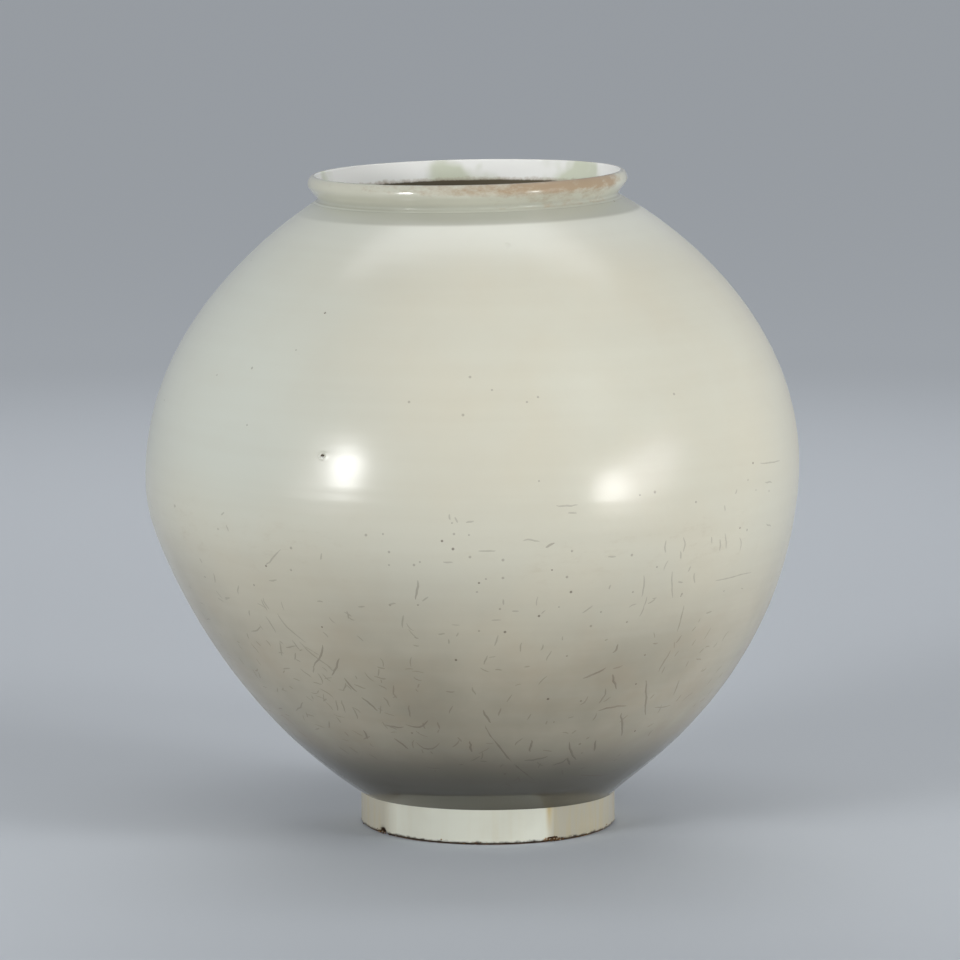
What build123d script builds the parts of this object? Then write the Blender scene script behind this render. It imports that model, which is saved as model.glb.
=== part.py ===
from build123d import *
import math
import os

# Korean moon jar: two thrown bowls luted rim to rim, on a foot ring and under a flared mouth rim.
# Millimetres, +Z up, with the origin at the centre of the face that the foot rests on.
# The jar leans a little towards -X, as such jars do after firing, and its mouth tips the same way.

# Foot ring
FOOT_RADIUS = 88.0
FOOT_HEIGHT = 20.0
FOOT_WALL = 13.0
FOOT_BEVEL = 1.2

# Films of slip in the joints, measured along the jar's axis
FOOT_SLIP = 1.0
BELLY_SLIP = 1.6
NECK_SLIP = 1.0

# Bowls: heights are of each bowl alone, and radii are outer ones
LOWER_HEIGHT = 198.0
UPPER_HEIGHT = 211.4
SEAM_RADIUS = 223.0
NECK_RADIUS = 105.5
WALL = 7.0
FLOOR_THICKNESS = 12.0
FLOOR_INSET = 9.0
THROAT_DEPTH = 4.5

# Tongue and groove in the belly seam
RIDGE_HEIGHT = 2.5
RIDGE_SHOULDER = 1.2

# Mouth rim, above its film of slip
RIM_HEIGHT = 17.5
RIM_FLARE = 4.0
NOSE_DROP = 6.0
CREST_WIDTH = 4.2
CREST_ROUND = 1.4

# How far each joint's centre lies from the axis of the foot, along X, and how far the mouth tips
SEAM_LEAN = -11.5
NECK_LEAN = -14.0
MOUTH_TILT = 1.2

# Pulls on the outlines: how far each end of an outline runs on before it turns, as radius, lean, height
FOOT_PULL = Vector(9.0, -4.5, 14.0)
LOWER_SEAM_PULL = Vector(-30.0, 13.0, -127.0)
UPPER_SEAM_PULL = Vector(15.0, 3.0, 110.0)
NECK_PULL = Vector(44.0, 5.5, -26.0)

# Rings that each bowl is lofted through
RINGS = 12

# Heights up the jar
lower_base = FOOT_HEIGHT + FOOT_SLIP
lower_rim = lower_base + LOWER_HEIGHT
upper_rim = lower_rim + BELLY_SLIP
neck_height = upper_rim + UPPER_HEIGHT
throat_radius = NECK_RADIUS - WALL


def outline_point(start, start_pull, end_pull, end, share):
    """A point of a bowl's outline, a cubic curve, as radius, lean and height."""
    rest = 1 - share
    return (
        start * rest**3
        + (start + start_pull) * (3 * rest**2 * share)
        + (end + end_pull) * (3 * rest * share**2)
        + end * share**3
    )


def ring(point, tilt):
    """The disc across a bowl at a point of its outline, tipped towards -X."""
    turn = math.radians(tilt)
    plane = Plane(
        origin=(point.Y, 0, point.Z),
        x_dir=(math.cos(turn), 0, math.sin(turn)),
        z_dir=(-math.sin(turn), 0, math.cos(turn)),
    )
    return plane * Circle(point.X)


def bowl(start, start_pull, end_pull, end, end_tilt):
    """A solid bowl between two discs, whose tilt comes in gently towards its end."""
    shares = [index / (RINGS - 1) for index in range(RINGS)]
    rings = [
        ring(outline_point(start, start_pull, end_pull, end, share), end_tilt * share**2)
        for share in shares
    ]
    return loft(rings)


def straight(points):
    """A straight-sided section, from points of radius and height."""
    return make_face(Polyline(*points, close=True))


def turned(section, centre, height=0.0, tilt=0.0):
    """A ring turned from a section, centred on the leaning jar and tipped towards -X."""
    return Location((centre, 0, height), (0, -tilt, 0)) * revolve(Plane.XZ * section, Axis.Z)


def make_foot_ring():
    inner = FOOT_RADIUS - FOOT_WALL
    section = [
        (inner, FOOT_BEVEL),
        (inner + FOOT_BEVEL, 0),
        (FOOT_RADIUS - FOOT_BEVEL, 0),
        (FOOT_RADIUS, FOOT_BEVEL),
        (FOOT_RADIUS, FOOT_HEIGHT),
        (inner, FOOT_HEIGHT),
    ]
    return turned(straight(section), 0)


def make_foot_slip():
    inner = FOOT_RADIUS - FOOT_WALL
    section = [
        (inner, FOOT_HEIGHT),
        (FOOT_RADIUS, FOOT_HEIGHT),
        (FOOT_RADIUS, lower_base),
        (inner, lower_base),
    ]
    return turned(straight(section), 0)


def seam_ridge(level):
    """The three corners of the ridge in the belly seam, from the inner face of the wall to the outer."""
    inner = SEAM_RADIUS - WALL
    return [
        (inner + RIDGE_SHOULDER, level),
        (SEAM_RADIUS - WALL / 2, level + RIDGE_HEIGHT),
        (SEAM_RADIUS - RIDGE_SHOULDER, level),
    ]


def make_lower_bowl():
    foot_edge = Vector(FOOT_RADIUS, 0, lower_base)
    seam_edge = Vector(SEAM_RADIUS, SEAM_LEAN, lower_rim)
    outside = bowl(foot_edge, FOOT_PULL, LOWER_SEAM_PULL, seam_edge, 0)
    floor_edge = foot_edge + Vector(-FLOOR_INSET, 0, FLOOR_THICKNESS)
    inner_edge = seam_edge - Vector(WALL, 0, 0)
    inside = bowl(floor_edge, FOOT_PULL, LOWER_SEAM_PULL, inner_edge, 0)
    ridge = turned(straight(seam_ridge(lower_rim)), SEAM_LEAN)
    return outside - inside + ridge


def make_belly_slip():
    inner = SEAM_RADIUS - WALL
    bead = BELLY_SLIP / 2
    below = [(inner, lower_rim), *seam_ridge(lower_rim), (SEAM_RADIUS, lower_rim)]
    above = [(inner, upper_rim), *seam_ridge(upper_rim), (SEAM_RADIUS, upper_rim)]
    film = Polyline(*below, *reversed(above))
    squeezed_out = ThreePointArc(
        (inner, upper_rim),
        (inner - bead, lower_rim + bead),
        (inner, lower_rim),
    )
    return turned(make_face(film + squeezed_out), SEAM_LEAN)


def make_upper_bowl():
    seam_edge = Vector(SEAM_RADIUS, SEAM_LEAN, upper_rim)
    neck_edge = Vector(NECK_RADIUS, NECK_LEAN, neck_height)
    outside = bowl(seam_edge, UPPER_SEAM_PULL, NECK_PULL, neck_edge, MOUTH_TILT)
    inner_edge = seam_edge - Vector(WALL, 0, 0)
    throat_edge = neck_edge - Vector(WALL, 0, THROAT_DEPTH)
    inside = bowl(inner_edge, UPPER_SEAM_PULL, NECK_PULL, throat_edge, MOUTH_TILT)
    throat = extrude(ring(throat_edge, MOUTH_TILT), THROAT_DEPTH + WALL)
    groove = turned(straight(seam_ridge(upper_rim)), SEAM_LEAN)
    return outside - inside - throat - groove


def make_neck_slip():
    section = [
        (throat_radius, 0),
        (NECK_RADIUS, 0),
        (NECK_RADIUS, NECK_SLIP),
        (throat_radius, NECK_SLIP),
    ]
    return turned(straight(section), NECK_LEAN, neck_height, MOUTH_TILT)


def make_mouth_rim():
    top = NECK_SLIP + RIM_HEIGHT
    nose = NECK_RADIUS + RIM_FLARE
    crest = nose - CREST_WIDTH
    outer_round = EllipticalCenterArc((crest, top - NOSE_DROP), CREST_WIDTH, NOSE_DROP)
    inner_round = CenterArc((crest, top - CREST_ROUND), CREST_ROUND, 90, 90)
    faces = Polyline(
        inner_round @ 1,
        (throat_radius, NECK_SLIP),
        (NECK_RADIUS, NECK_SLIP),
        outer_round @ 0,
    )
    section = make_face(faces + outer_round + inner_round)
    return turned(section, NECK_LEAN, neck_height, MOUTH_TILT)


os.makedirs("parts", exist_ok=True)
pieces = {
    "foot_ring": make_foot_ring(),
    "foot_slip": make_foot_slip(),
    "lower_bowl": make_lower_bowl(),
    "belly_slip": make_belly_slip(),
    "upper_bowl": make_upper_bowl(),
    "neck_slip": make_neck_slip(),
    "mouth_rim": make_mouth_rim(),
}
for name, piece in pieces.items():
    export_step(piece, f"parts/{name}.step")
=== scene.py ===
import math
import random
from bisect import bisect

import bmesh
import bpy
from bpy.props import FloatProperty, FloatVectorProperty, IntProperty, PointerProperty
from bpy.types import Operator, Panel, PropertyGroup
from mathutils import Euler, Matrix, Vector, noise
from mathutils.bvhtree import BVHTree
from mathutils.geometry import interpolate_bezier


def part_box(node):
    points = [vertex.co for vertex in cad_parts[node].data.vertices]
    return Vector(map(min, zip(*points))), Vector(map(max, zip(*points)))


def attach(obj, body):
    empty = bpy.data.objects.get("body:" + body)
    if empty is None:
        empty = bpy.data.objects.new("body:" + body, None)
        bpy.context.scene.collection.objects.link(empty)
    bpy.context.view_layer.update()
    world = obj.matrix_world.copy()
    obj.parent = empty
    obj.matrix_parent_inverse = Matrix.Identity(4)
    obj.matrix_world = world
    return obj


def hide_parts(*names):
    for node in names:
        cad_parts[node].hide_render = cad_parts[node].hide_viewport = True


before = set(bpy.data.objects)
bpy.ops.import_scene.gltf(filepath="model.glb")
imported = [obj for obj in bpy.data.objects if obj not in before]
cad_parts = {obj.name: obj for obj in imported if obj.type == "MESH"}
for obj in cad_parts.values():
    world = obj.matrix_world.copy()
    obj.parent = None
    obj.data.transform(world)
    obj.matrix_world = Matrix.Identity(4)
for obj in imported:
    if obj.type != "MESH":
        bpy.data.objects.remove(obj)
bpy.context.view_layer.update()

bl_info = {
    "name": "Moon Jar",
    "version": (1, 0, 0),
    "blender": (4, 5, 0),
    "location": "View3D > Sidebar > Moon Jar",
    "description": "Dresses the solids of a moon jar in thrown clay, glaze, stained hairlines and kiln grit",
    "category": "Add Mesh",
}

MM = 0.001

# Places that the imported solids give
foot_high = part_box("foot_ring")[1]
lower_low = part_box("lower_bowl")[0]
seam_low, seam_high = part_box("belly_slip")
upper_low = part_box("upper_bowl")[0]
neck_low, neck_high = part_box("neck_slip")

# Thickness of the film of slip under the mouth rim
NECK_FILM = 1.0 * MM

# Pulls on the outlines of the two bowls, as radius, lean and height
FOOT_PULL = Vector((11.0, -4.5, 11.0)) * MM
LOWER_SEAM_PULL = Vector((-30.0, 13.0, -127.0)) * MM
UPPER_SEAM_PULL = Vector((15.0, 3.0, 110.0)) * MM
NECK_PULL = Vector((44.0, 5.5, -26.0)) * MM

# How steeply the outline spreads and leans below and above the belly seam, whose kink the hands rounded off
LOWER_SPREAD = LOWER_SEAM_PULL / LOWER_SEAM_PULL.z
UPPER_SPREAD = UPPER_SEAM_PULL / UPPER_SEAM_PULL.z
SEAM_SPREAD = (LOWER_SPREAD + UPPER_SPREAD) / 2
SEAM_KINK = LOWER_SPREAD - UPPER_SPREAD

# How much of a quarter circle's radius a curve's pull takes
ROUND_PULL = 0.5523

# A bowl's outline is about this much longer than the straight line between its ends
OUTLINE_SLACK = 1.1

# How far the pattern of wandering, and that of the rings, changes on the way round, and what sets them apart
WANDER_ROUND = 1.7
RING_ROUND = 0.6
RING_APART = 7.0

# The photograph is a square of this many pixels, and the camera's sensor is this wide in millimetres
PHOTO_SIZE = 960
SENSOR_WIDTH = 36

# Edges that turn by more than this stay sharp
SHARP_TURN = math.radians(40)

# Half the width of the floor in metres
FLOOR_REACH = 40

# A piece is turned in one of these equal parts of the circle, and the part is then repeated
SECTORS = 10

# Sockets of a colour mix
MIX_FACTOR, MIX_A, MIX_B, MIX_RESULT = 0, 6, 7, 2

# Hairlines in the glaze, each by the pixels of the photograph that it runs through: first the plain ones
DARK_HAIRLINES = (
    ((485, 725), (508, 757), (535, 780)), ((483, 710), (487, 717), (491, 723)),
    ((621, 713), (622, 724), (622, 736)), ((598, 711), (612, 707), (627, 706)),
    ((583, 679), (595, 674), (606, 667)), ((613, 674), (614, 681), (617, 689)),
    ((618, 644), (617, 649), (613, 653)), ((569, 742), (571, 752), (576, 760)),
    ((596, 740), (595, 746), (594, 751)), ((552, 765), (560, 763), (568, 758)), ((567, 758), (570, 765)),
    ((524, 760), (538, 759), (548, 756)), ((581, 775), (596, 776), (610, 774)),
    ((532, 740), (531, 746), (530, 752)), ((470, 741), (471, 747), (473, 752)),
    ((363, 730), (366, 735), (368, 739)), ((416, 742), (428, 749), (440, 743)),
    ((323, 645), (321, 655), (313, 667)), ((339, 658), (336, 667), (332, 676)),
    ((344, 678), (350, 685), (357, 692)), ((362, 697), (370, 704), (378, 711)),
    ((385, 725), (394, 727), (404, 727)), ((405, 724), (419, 727), (428, 720)),
    ((394, 738), (402, 744), (409, 749)), ((418, 580), (417, 590), (416, 600)),
    ((546, 548), (550, 546), (555, 543)), ((646, 680), (646, 698), (645, 716)),
)
FAINT_HAIRLINES = (
    # Left flank
    ((261, 599), (264, 605), (267, 611)), ((265, 616), (271, 624), (276, 633)),
    ((277, 613), (287, 627), (307, 643)), ((299, 641), (313, 655), (333, 669)),
    ((280, 642), (281, 649), (282, 656)), ((286, 648), (296, 646)), ((296, 653), (295, 660)),
    ((313, 666), (314, 673)), ((318, 673), (321, 678), (323, 684)), ((313, 682), (322, 684)),
    ((343, 691), (345, 686), (346, 683)), ((354, 684), (360, 687), (366, 688)), ((377, 667), (385, 669)),
    ((374, 677), (386, 679)), ((384, 697), (387, 701), (390, 707)), ((336, 700), (337, 706), (338, 711)),
    ((341, 700), (343, 706), (346, 713)), ((353, 707), (356, 713), (358, 719)),
    ((319, 689), (327, 692), (334, 699)), ((329, 721), (329, 728)), ((337, 717), (341, 723)),
    ((409, 705), (409, 711), (411, 717)), ((388, 726), (397, 730)), ((289, 686), (293, 689)),
    ((303, 702), (300, 707), (296, 711)), ((323, 701), (327, 699)), ((306, 712), (307, 717)),
    ((307, 715), (314, 716)), ((316, 730), (319, 728)), ((403, 615), (403, 628)), ((389, 604), (396, 604)),
    ((358, 607), (365, 607)), ((317, 601), (323, 602)), ((347, 611), (348, 615), (349, 619)),
    ((238, 585), (238, 594)), ((213, 573), (215, 578), (215, 583)), ((269, 581), (277, 580)),
    ((225, 598), (230, 598)), ((249, 610), (250, 616)), ((251, 631), (257, 630), (261, 626)),
    ((256, 641), (261, 646)), ((247, 633), (249, 639)), ((266, 640), (271, 646)),
    ((300, 668), (306, 673), (312, 677)), ((283, 669), (290, 668)), ((293, 678), (300, 681)),
    ((292, 640), (300, 650)),
    # Lower middle
    ((438, 634), (445, 634)), ((498, 635), (497, 641), (495, 646)), ((449, 639), (449, 644)),
    ((472, 687), (475, 695)), ((446, 692), (455, 692)), ((501, 708), (500, 712), (499, 716)),
    ((438, 722), (439, 729)), ((495, 670), (502, 670)), ((524, 667), (530, 666)), ((512, 611), (519, 611)),
    ((504, 599), (504, 605)), ((380, 678), (386, 679)), ((480, 761), (487, 762)), ((506, 784), (512, 788)),
    ((586, 739), (590, 737)), ((562, 770), (563, 775)),
    # Right flank
    ((684, 605), (681, 618), (677, 632)), ((682, 635), (679, 640), (676, 643)),
    ((671, 650), (665, 660), (658, 672)), ((679, 680), (677, 687), (673, 695)),
    ((654, 708), (663, 707), (671, 705)), ((650, 699), (655, 694)), ((672, 571), (672, 585), (673, 598)),
    ((644, 575), (644, 586), (642, 597)), ((666, 540), (665, 547), (665, 553)),
    ((684, 537), (685, 545), (683, 552)), ((694, 573), (695, 583)), ((720, 539), (720, 551)),
    ((711, 537), (712, 543)), ((725, 533), (726, 541), (726, 549)), ((740, 537), (741, 544), (740, 551)),
    ((681, 551), (681, 559)), ((715, 581), (733, 577), (752, 572)), ((760, 463), (770, 463), (780, 460)),
    ((725, 505), (725, 511)), ((766, 525), (771, 526)), ((735, 494), (737, 489)), ((765, 482), (772, 482)),
    ((608, 557), (616, 557)), ((678, 582), (683, 582)), ((653, 644), (658, 643)), ((605, 641), (608, 639)),
    ((706, 613), (712, 611)),
    # Along the belly seam
    ((523, 541), (531, 540), (540, 541)), ((556, 506), (567, 506), (578, 505)), ((568, 513), (577, 513)),
    ((478, 551), (487, 551), (496, 551)), ((443, 562), (453, 562)), ((466, 523), (474, 521)),
    ((449, 514), (450, 520)), ((266, 566), (272, 559), (281, 549)), ((226, 525), (229, 531)),
    ((221, 515), (224, 512)), ((174, 504), (175, 508)), ((321, 553), (321, 560)), ((200, 558), (202, 563)),
    ((455, 517), (457, 523)),
)

# Iron specks and pinholes, by their pixels in the photograph
DARK_SPECKS = (
    (325, 313), (614, 201), (539, 616), (505, 632), (456, 660), (571, 592), (552, 570), (479, 583),
    (453, 549), (442, 541), (548, 699), (636, 684), (635, 731), (740, 528), (753, 463), (266, 566),
    (205, 577), (322, 627),
)
FAINT_SPECKS = (
    (383, 534), (366, 535), (389, 552), (389, 565), (414, 565), (420, 562), (454, 534), (469, 535),
    (452, 523), (470, 557), (477, 592), (486, 579), (503, 560), (503, 578), (218, 529), (291, 548),
    (291, 570), (254, 585), (640, 495), (655, 492), (572, 551), (632, 555), (567, 577), (633, 592),
    (657, 567), (681, 596), (748, 480), (756, 490), (769, 491), (696, 502), (724, 591), (682, 594),
    (479, 631), (601, 612), (591, 626), (627, 622), (567, 656), (645, 655), (581, 701), (554, 722),
    (580, 744), (582, 753), (412, 733), (505, 774), (435, 771), (390, 605), (418, 605), (500, 609),
    (559, 607), (296, 350), (217, 375), (252, 368), (247, 425), (409, 402), (470, 377), (463, 415),
    (492, 390), (527, 402), (538, 397), (674, 394), (539, 481), (175, 506), (747, 530),
)

# Burst bubbles in the glaze: pixel in the photograph, radius, depth and raised edge in millimetres
PHOTO_PITS = (((323, 456), 1.7, 1.3, 0.25), ((507, 245), 3.2, 0.4, 0.0))

# Patches of scattered hairlines: angles round the jar from the front, heights in millimetres, how many,
# and the slope that they favour, in degrees from level
HAIRLINE_PATCHES = {
    "left_flank": ((-72, -12), (62, 178), 100, -40),
    "right_flank": ((22, 84), (90, 215), 60, 70),
    "middle": ((-14, 24), (66, 190), 36, 60),
    "above_foot": ((-12, 50), (44, 100), 20, 50),
    "back": ((85, 288), (50, 235), 330, -35),
}

# Traced hairlines: their widths, and the bands of faces along one
DARK_WIDTH = 1.6 * MM
FAINT_WIDTH = 1.2 * MM
TRACED_BANDS = 8

# Scattered hairlines: half lengths and widths in millimetres, bends as shares of the half length, how far the
# slopes stray in degrees, and the bands of faces along one
HALF_LENGTHS = (1.5, 5.0)
SCATTERED_WIDTHS = (0.7, 1.2)
BENDS = (-0.25, 0.25)
SLOPE_STRAY = 25
SCATTERED_BANDS = 5

# Every hairline wavers by a share of its width over about a length, and stands out by its width over its
# flatness
WAVER = 0.7
WAVER_LENGTH = 4 * MM
HAIRLINE_FLATNESS = 10

# Specks: radii in millimetres of those in the photograph and of those behind, and how far all stand out
PHOTO_SPECK_RADII = (0.6, 1.0)
BACK_SPECK_RADII = (0.4, 0.75)
SPECK_RISE = 0.06 * MM

# Specks behind: how many, and between which angles from the front and heights in millimetres
BACK_SPECKS = 130
BACK_ANGLES = (80, 285)
BACK_HEIGHTS = (60, 400)

# Grit: radii of the grains and how far up the foot they spread, in millimetres, and how deep they are stuck
GRAIN_RADII = (0.3, 0.85)
GRAIN_SPREAD = 1.2
GRAIN_SINK = 0.1 * MM

# Where the random draws start
HAIRLINE_SEED = 11
SPECK_SEED = 5
GRIT_SEED = 23

# Chips in the foot's lower edge: angle from the front, width and depth in millimetres
FOOT_CHIPS = (
    (-55.5, 5.0, 3.4), (30.0, 4.0, 0.7), (-5.9, 2.0, 0.8), (49.3, 2.0, 0.5), (118.0, 5.0, 1.4),
    (201.0, 4.0, 1.2),
)

# Where kiln grit sticks to the foot: angle from the front, spread in degrees, and grains
GRIT_PATCHES = (
    (30.5, 5.0, 70), (-55.5, 3.0, 12), (49.3, 1.5, 6), (-5.9, 1.2, 7), (160.0, 60.0, 60), (0.0, 180.0, 60),
)

# Lights: place and size in metres, how far the beam spreads in degrees, and whether the glaze mirrors them
LIGHTS = {
    "left_box": ((-2.05, -2.18, 0.78), (0.56, 0.9), 60, True),
    "left_panel": ((-2.45, -2.06, 0.27), (1.5, 0.48), 120, True),
    "right_box": ((2.24, -2.02, 0.26), (0.6, 0.5), 60, True),
    "top_box": ((0.0, 0.55, 2.75), (3.4, 0.8), 180, True),
    "left_fill": ((-2.4, -1.9, 0.95), (0.9, 0.9), 60, False),
    "right_fill": ((1.9, -1.7, 2.1), (0.9, 0.9), 60, False),
    "side_fill": ((2.7, -1.2, 0.75), (0.9, 0.5), 60, False),
    "low_fill": ((2.6, -1.5, 0.3), (0.9, 0.5), 60, False),
    "back_fill": ((0.0, 2.7, 1.5), (2.4, 1.6), 90, False),
}

# The place that every light faces, in the jar's belly
LIT_PLACE = Vector((0.0, 0.0, 0.24))


def linear(text):
    """A colour written as sRGB hex, as linear red, green, blue and full cover."""
    shares = [int(text[start:start + 2], 16) / 255 for start in (1, 3, 5)]
    values = [((s + 0.055) / 1.055) ** 2.4 if s > 0.04045 else s / 12.92 for s in shares]
    return (*values, 1.0)


def length(name, description, default):
    """A size that a user may change."""
    return FloatProperty(
        name=name, description=description, default=default, min=0.0, precision=5, unit="LENGTH"
    )


def shade(name, description, text):
    """A colour that a user may change."""
    return FloatVectorProperty(
        name=name, description=description, default=linear(text), size=4, min=0.0, max=1.0, subtype="COLOR"
    )


def power(name, description, default):
    """A light's power, which a user may change."""
    return FloatProperty(name=name, description=description, default=default, min=0.0, unit="POWER")


class JarShape(PropertyGroup):
    """Sizes of the jar and of the marks that throwing left on it."""

    foot_radius: length("Foot radius", "Outer radius of the foot ring", foot_high.x)
    foot_wall: length("Foot wall", "Thickness of the foot ring", 13 * MM)
    foot_height: length("Foot height", "Height of the foot ring", foot_high.z)
    foot_edge: length("Foot edge", "Bevel along the edges that the jar stands on", 1.2 * MM)
    base_height: length("Base height", "Where the lower bowl starts", lower_low.z)
    seam_radius: length("Seam radius", "Outer radius at the belly seam", seam_high.y)
    lower_rim: length("Lower rim", "Height of the lower bowl's rim", seam_low.z)
    upper_rim: length("Upper rim", "Height of the upper bowl's rim", upper_low.z)
    neck_radius: length("Neck radius", "Outer radius under the mouth rim", neck_high.y)
    neck_slip: length("Neck slip", "Film of slip under the mouth rim", NECK_FILM)
    wall: length("Wall", "Thickness of the bowls", 7 * MM)
    floor_thickness: length("Floor thickness", "Thickness of the jar's floor", 12 * MM)
    floor_inset: length("Floor inset", "How far the floor's edge lies inside the foot's", 9 * MM)
    throat_depth: length("Throat depth", "How far the throat runs down inside the neck", 4.5 * MM)
    ridge_height: length("Ridge height", "Height of the ridge in the belly seam", 2.5 * MM)
    ridge_shoulder: length("Ridge shoulder", "Flat beside the ridge in the belly seam", 1.2 * MM)
    rim_height: length("Rim height", "Height of the mouth rim above its slip", 17.5 * MM)
    rim_flare: length("Rim flare", "How far the lip stands out over the neck", 4.0 * MM)
    nose_drop: length("Nose drop", "How far the lip's widest line lies under its crest", 6.0 * MM)
    crest_width: length("Crest width", "From the lip's widest line in to its crest", 4.2 * MM)
    crest_round: length("Crest round", "Radius on the inside of the crest", 1.4 * MM)
    lip_tuck: length("Lip tuck", "How far the neck is drawn in under the lip", 2.3 * MM)
    tuck_height: length("Tuck height", "How far above its joint the neck is narrowest", 1.6 * MM)
    joint_lift: length("Joint lift", "How far the joint at the foot rises towards the front", 3.2 * MM)
    lift_reach: length("Lift reach", "How far up the bowl that rise fades out", 45 * MM)
    # How far down from the neck the painted shade under the lip reaches
    under_lip_shade_depth: length("Pool depth", "How far down from the neck the glaze pooled", 7.4 * MM)
    unevenness: length("Unevenness", "How far the wall wanders in or out of true", 0.7 * MM)
    patch: length("Patch", "Size of a place that is out of true", 130 * MM)
    ring_depth: length("Ring depth", "Depth of the rings that the fingers left", 0.12 * MM)
    ring_pitch: length("Ring pitch", "Spacing of the rings that the fingers left", 11 * MM)
    seam_round: length("Seam round", "How far above and below the seam the hands rounded it off", 27 * MM)
    outer_row: length("Outer row", "Height of a row of faces outside", 2.0 * MM)
    inner_row: length("Inner row", "Height of a row of faces inside", 6.0 * MM)
    seam_lean: FloatProperty(
        name="Seam lean", description="How far the belly seam lies off the foot's axis",
        default=(seam_low.x + seam_high.x) / 2, unit="LENGTH",
    )
    neck_lean: FloatProperty(
        name="Neck lean", description="How far the neck lies off the foot's axis",
        default=(neck_low.x + neck_high.x) / 2, unit="LENGTH",
    )
    neck_height: length(
        "Neck height", "Where the upper bowl ends", (neck_low.z + neck_high.z - NECK_FILM) / 2
    )
    mouth_tilt: FloatProperty(
        name="Mouth tilt", description="How far the mouth tips out of level",
        default=math.asin((neck_high.z - neck_low.z - NECK_FILM) / (2 * neck_high.y)), subtype="ANGLE",
    )
    segments: IntProperty(name="Segments", description="Faces round the jar", default=300, min=24)


class JarFinish(PropertyGroup):
    """Colours of the glaze, the bare clay and the stains."""

    glaze: shade("Glaze", "Glaze over most of the jar", "#cfcebf")
    # Partly the glaze's own browner tone, partly painted shade: darker to stand for the light falling off on
    # the lower bowl and round the sides of the foot
    low_glaze_and_shade: shade("Low glaze", "Browner glaze on the lower bowl and the sides of the foot", "#a8a392")
    buff_glaze: shade("Buff glaze", "Warm patches of glaze on the lower bowl", "#b6a68e")
    # Painted shade: a dark glaze colour standing for the shade where the bowl turns in to the foot
    painted_turn_shade: shade("Soot", "Glaze greyed by soot where the bowl turns in to the foot", "#4e4a3c")
    cool_glaze: shade("Cool glaze", "Bluish glaze where it lies thick", "#cbcfc5")
    cream_glaze: shade("Cream glaze", "Yellowish glaze where it lies thin", "#d0cbb8")
    white_glaze: shade("White glaze", "Whiter glaze round the neck", "#dee2da")
    foot_glaze: shade("Foot glaze", "Glaze on the front of the foot", "#d8dbce")
    # Partly the lip's own whitest glaze, partly painted light: paler still, to stand for the strong light on
    # the inside of the lip
    lip_white_and_light: shade("Lip white", "Whitest glaze, thick inside the lip", "#fafbf7")
    # Painted shade: a greyer colour standing for the shade under the lip and its darker reflection
    painted_under_lip_shade: shade("Neck glaze", "Greyer glaze that pooled under the lip", "#a5a79a")
    lip_glaze: shade("Lip glaze", "Greenish glaze on the lip", "#c2c3b3")
    green_glaze: shade("Green glaze", "Runs of glaze that pooled and turned green", "#cbd2b6")
    scuff: shade("Scuff", "Brown stain rubbed into worn glaze", "#a39378")
    lip_wear: shade("Lip wear", "Pinkish clay where the lip's glaze is worn", "#a2896b")
    run_stain: shade("Run stain", "Yellow stain that ran down the foot", "#b9a673")
    inner_glaze: shade("Inner glaze", "Stained glaze inside the jar", "#a89e89")
    # Partly dirt, partly painted shade: the dark band in the throat stands for the dark inside of the jar
    throat_shade_and_dirt: shade("Throat dirt", "Dark dirt in the throat", "#564d38")
    bare_clay: shade("Bare clay", "Unglazed clay that the jar stands on", "#8a6a4a")
    # Partly dark burnt clay, partly painted shade: near black for the shadow under the foot's edge and in its
    # chips
    burnt_clay_and_shade: shade("Burnt clay", "Darkest part of the unglazed clay", "#291d13")
    hairline: shade("Hairline", "Stain in the hairlines and specks", "#57493a")
    speck: shade("Speck", "Iron specks and the floors of burst bubbles", "#43341f")
    grit: shade("Grit", "Kiln grit stuck to the foot", "#8c6436")


class JarStage(PropertyGroup):
    """Camera, lights and floor."""

    camera_place: FloatVectorProperty(
        name="Camera place", description="Where the camera stands",
        default=(-5.6 * MM, -3.673, 0.758), subtype="XYZ", unit="LENGTH",
    )
    camera_pitch: FloatProperty(
        name="Camera pitch", description="How far the camera looks down",
        default=math.radians(8.06), subtype="ANGLE",
    )
    lens: FloatProperty(name="Lens", description="Focal length in millimetres", default=202.0, unit="CAMERA")
    left_box: power("Left box", "Soft box on the left, mirrored in the glaze", 2.7)
    left_panel: power("Left panel", "Low dim panel on the left, mirrored in the belly", 1.9)
    right_box: power("Right box", "Soft box on the right, mirrored in the glaze", 1.5)
    top_box: power("Top box", "Soft box overhead, behind the jar", 10.4)
    left_fill: power("Left fill", "Fill on the left", 4.3)
    right_fill: power("Right fill", "Fill high up on the right", 1.5)
    side_fill: power("Side fill", "Fill on the right, a little above the lip", 3.3)
    low_fill: power("Low fill", "Fill low down on the right", 2.5)
    back_fill: power("Back fill", "Fill behind the jar", 9.0)
    floor_glow: FloatProperty(
        name="Floor glow",
        description="How far the floor is lifted towards its plain colour where it is seen",
        default=0.35, min=0.0, max=1.0, subtype="FACTOR",
    )
    room: shade("Room", "Even light of the room", "#7c7c7c")
    backdrop: shade("Backdrop", "What is seen above the floor, and mirrored in the glaze", "#999da3")
    floor: shade("Floor", "Seamless paper floor", "#c3c9d0")
    floor_bounce: shade("Floor bounce", "What the floor throws back at the jar", "#2b2d30")


def outline(start, start_pull, end_pull, end, row):
    """Points of a bowl's outline, about a row apart, as radius, lean and height."""
    steps = max(3, round((end - start).length * OUTLINE_SLACK / row))
    return interpolate_bezier(start, start + start_pull, end + end_pull, end, steps)


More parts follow.
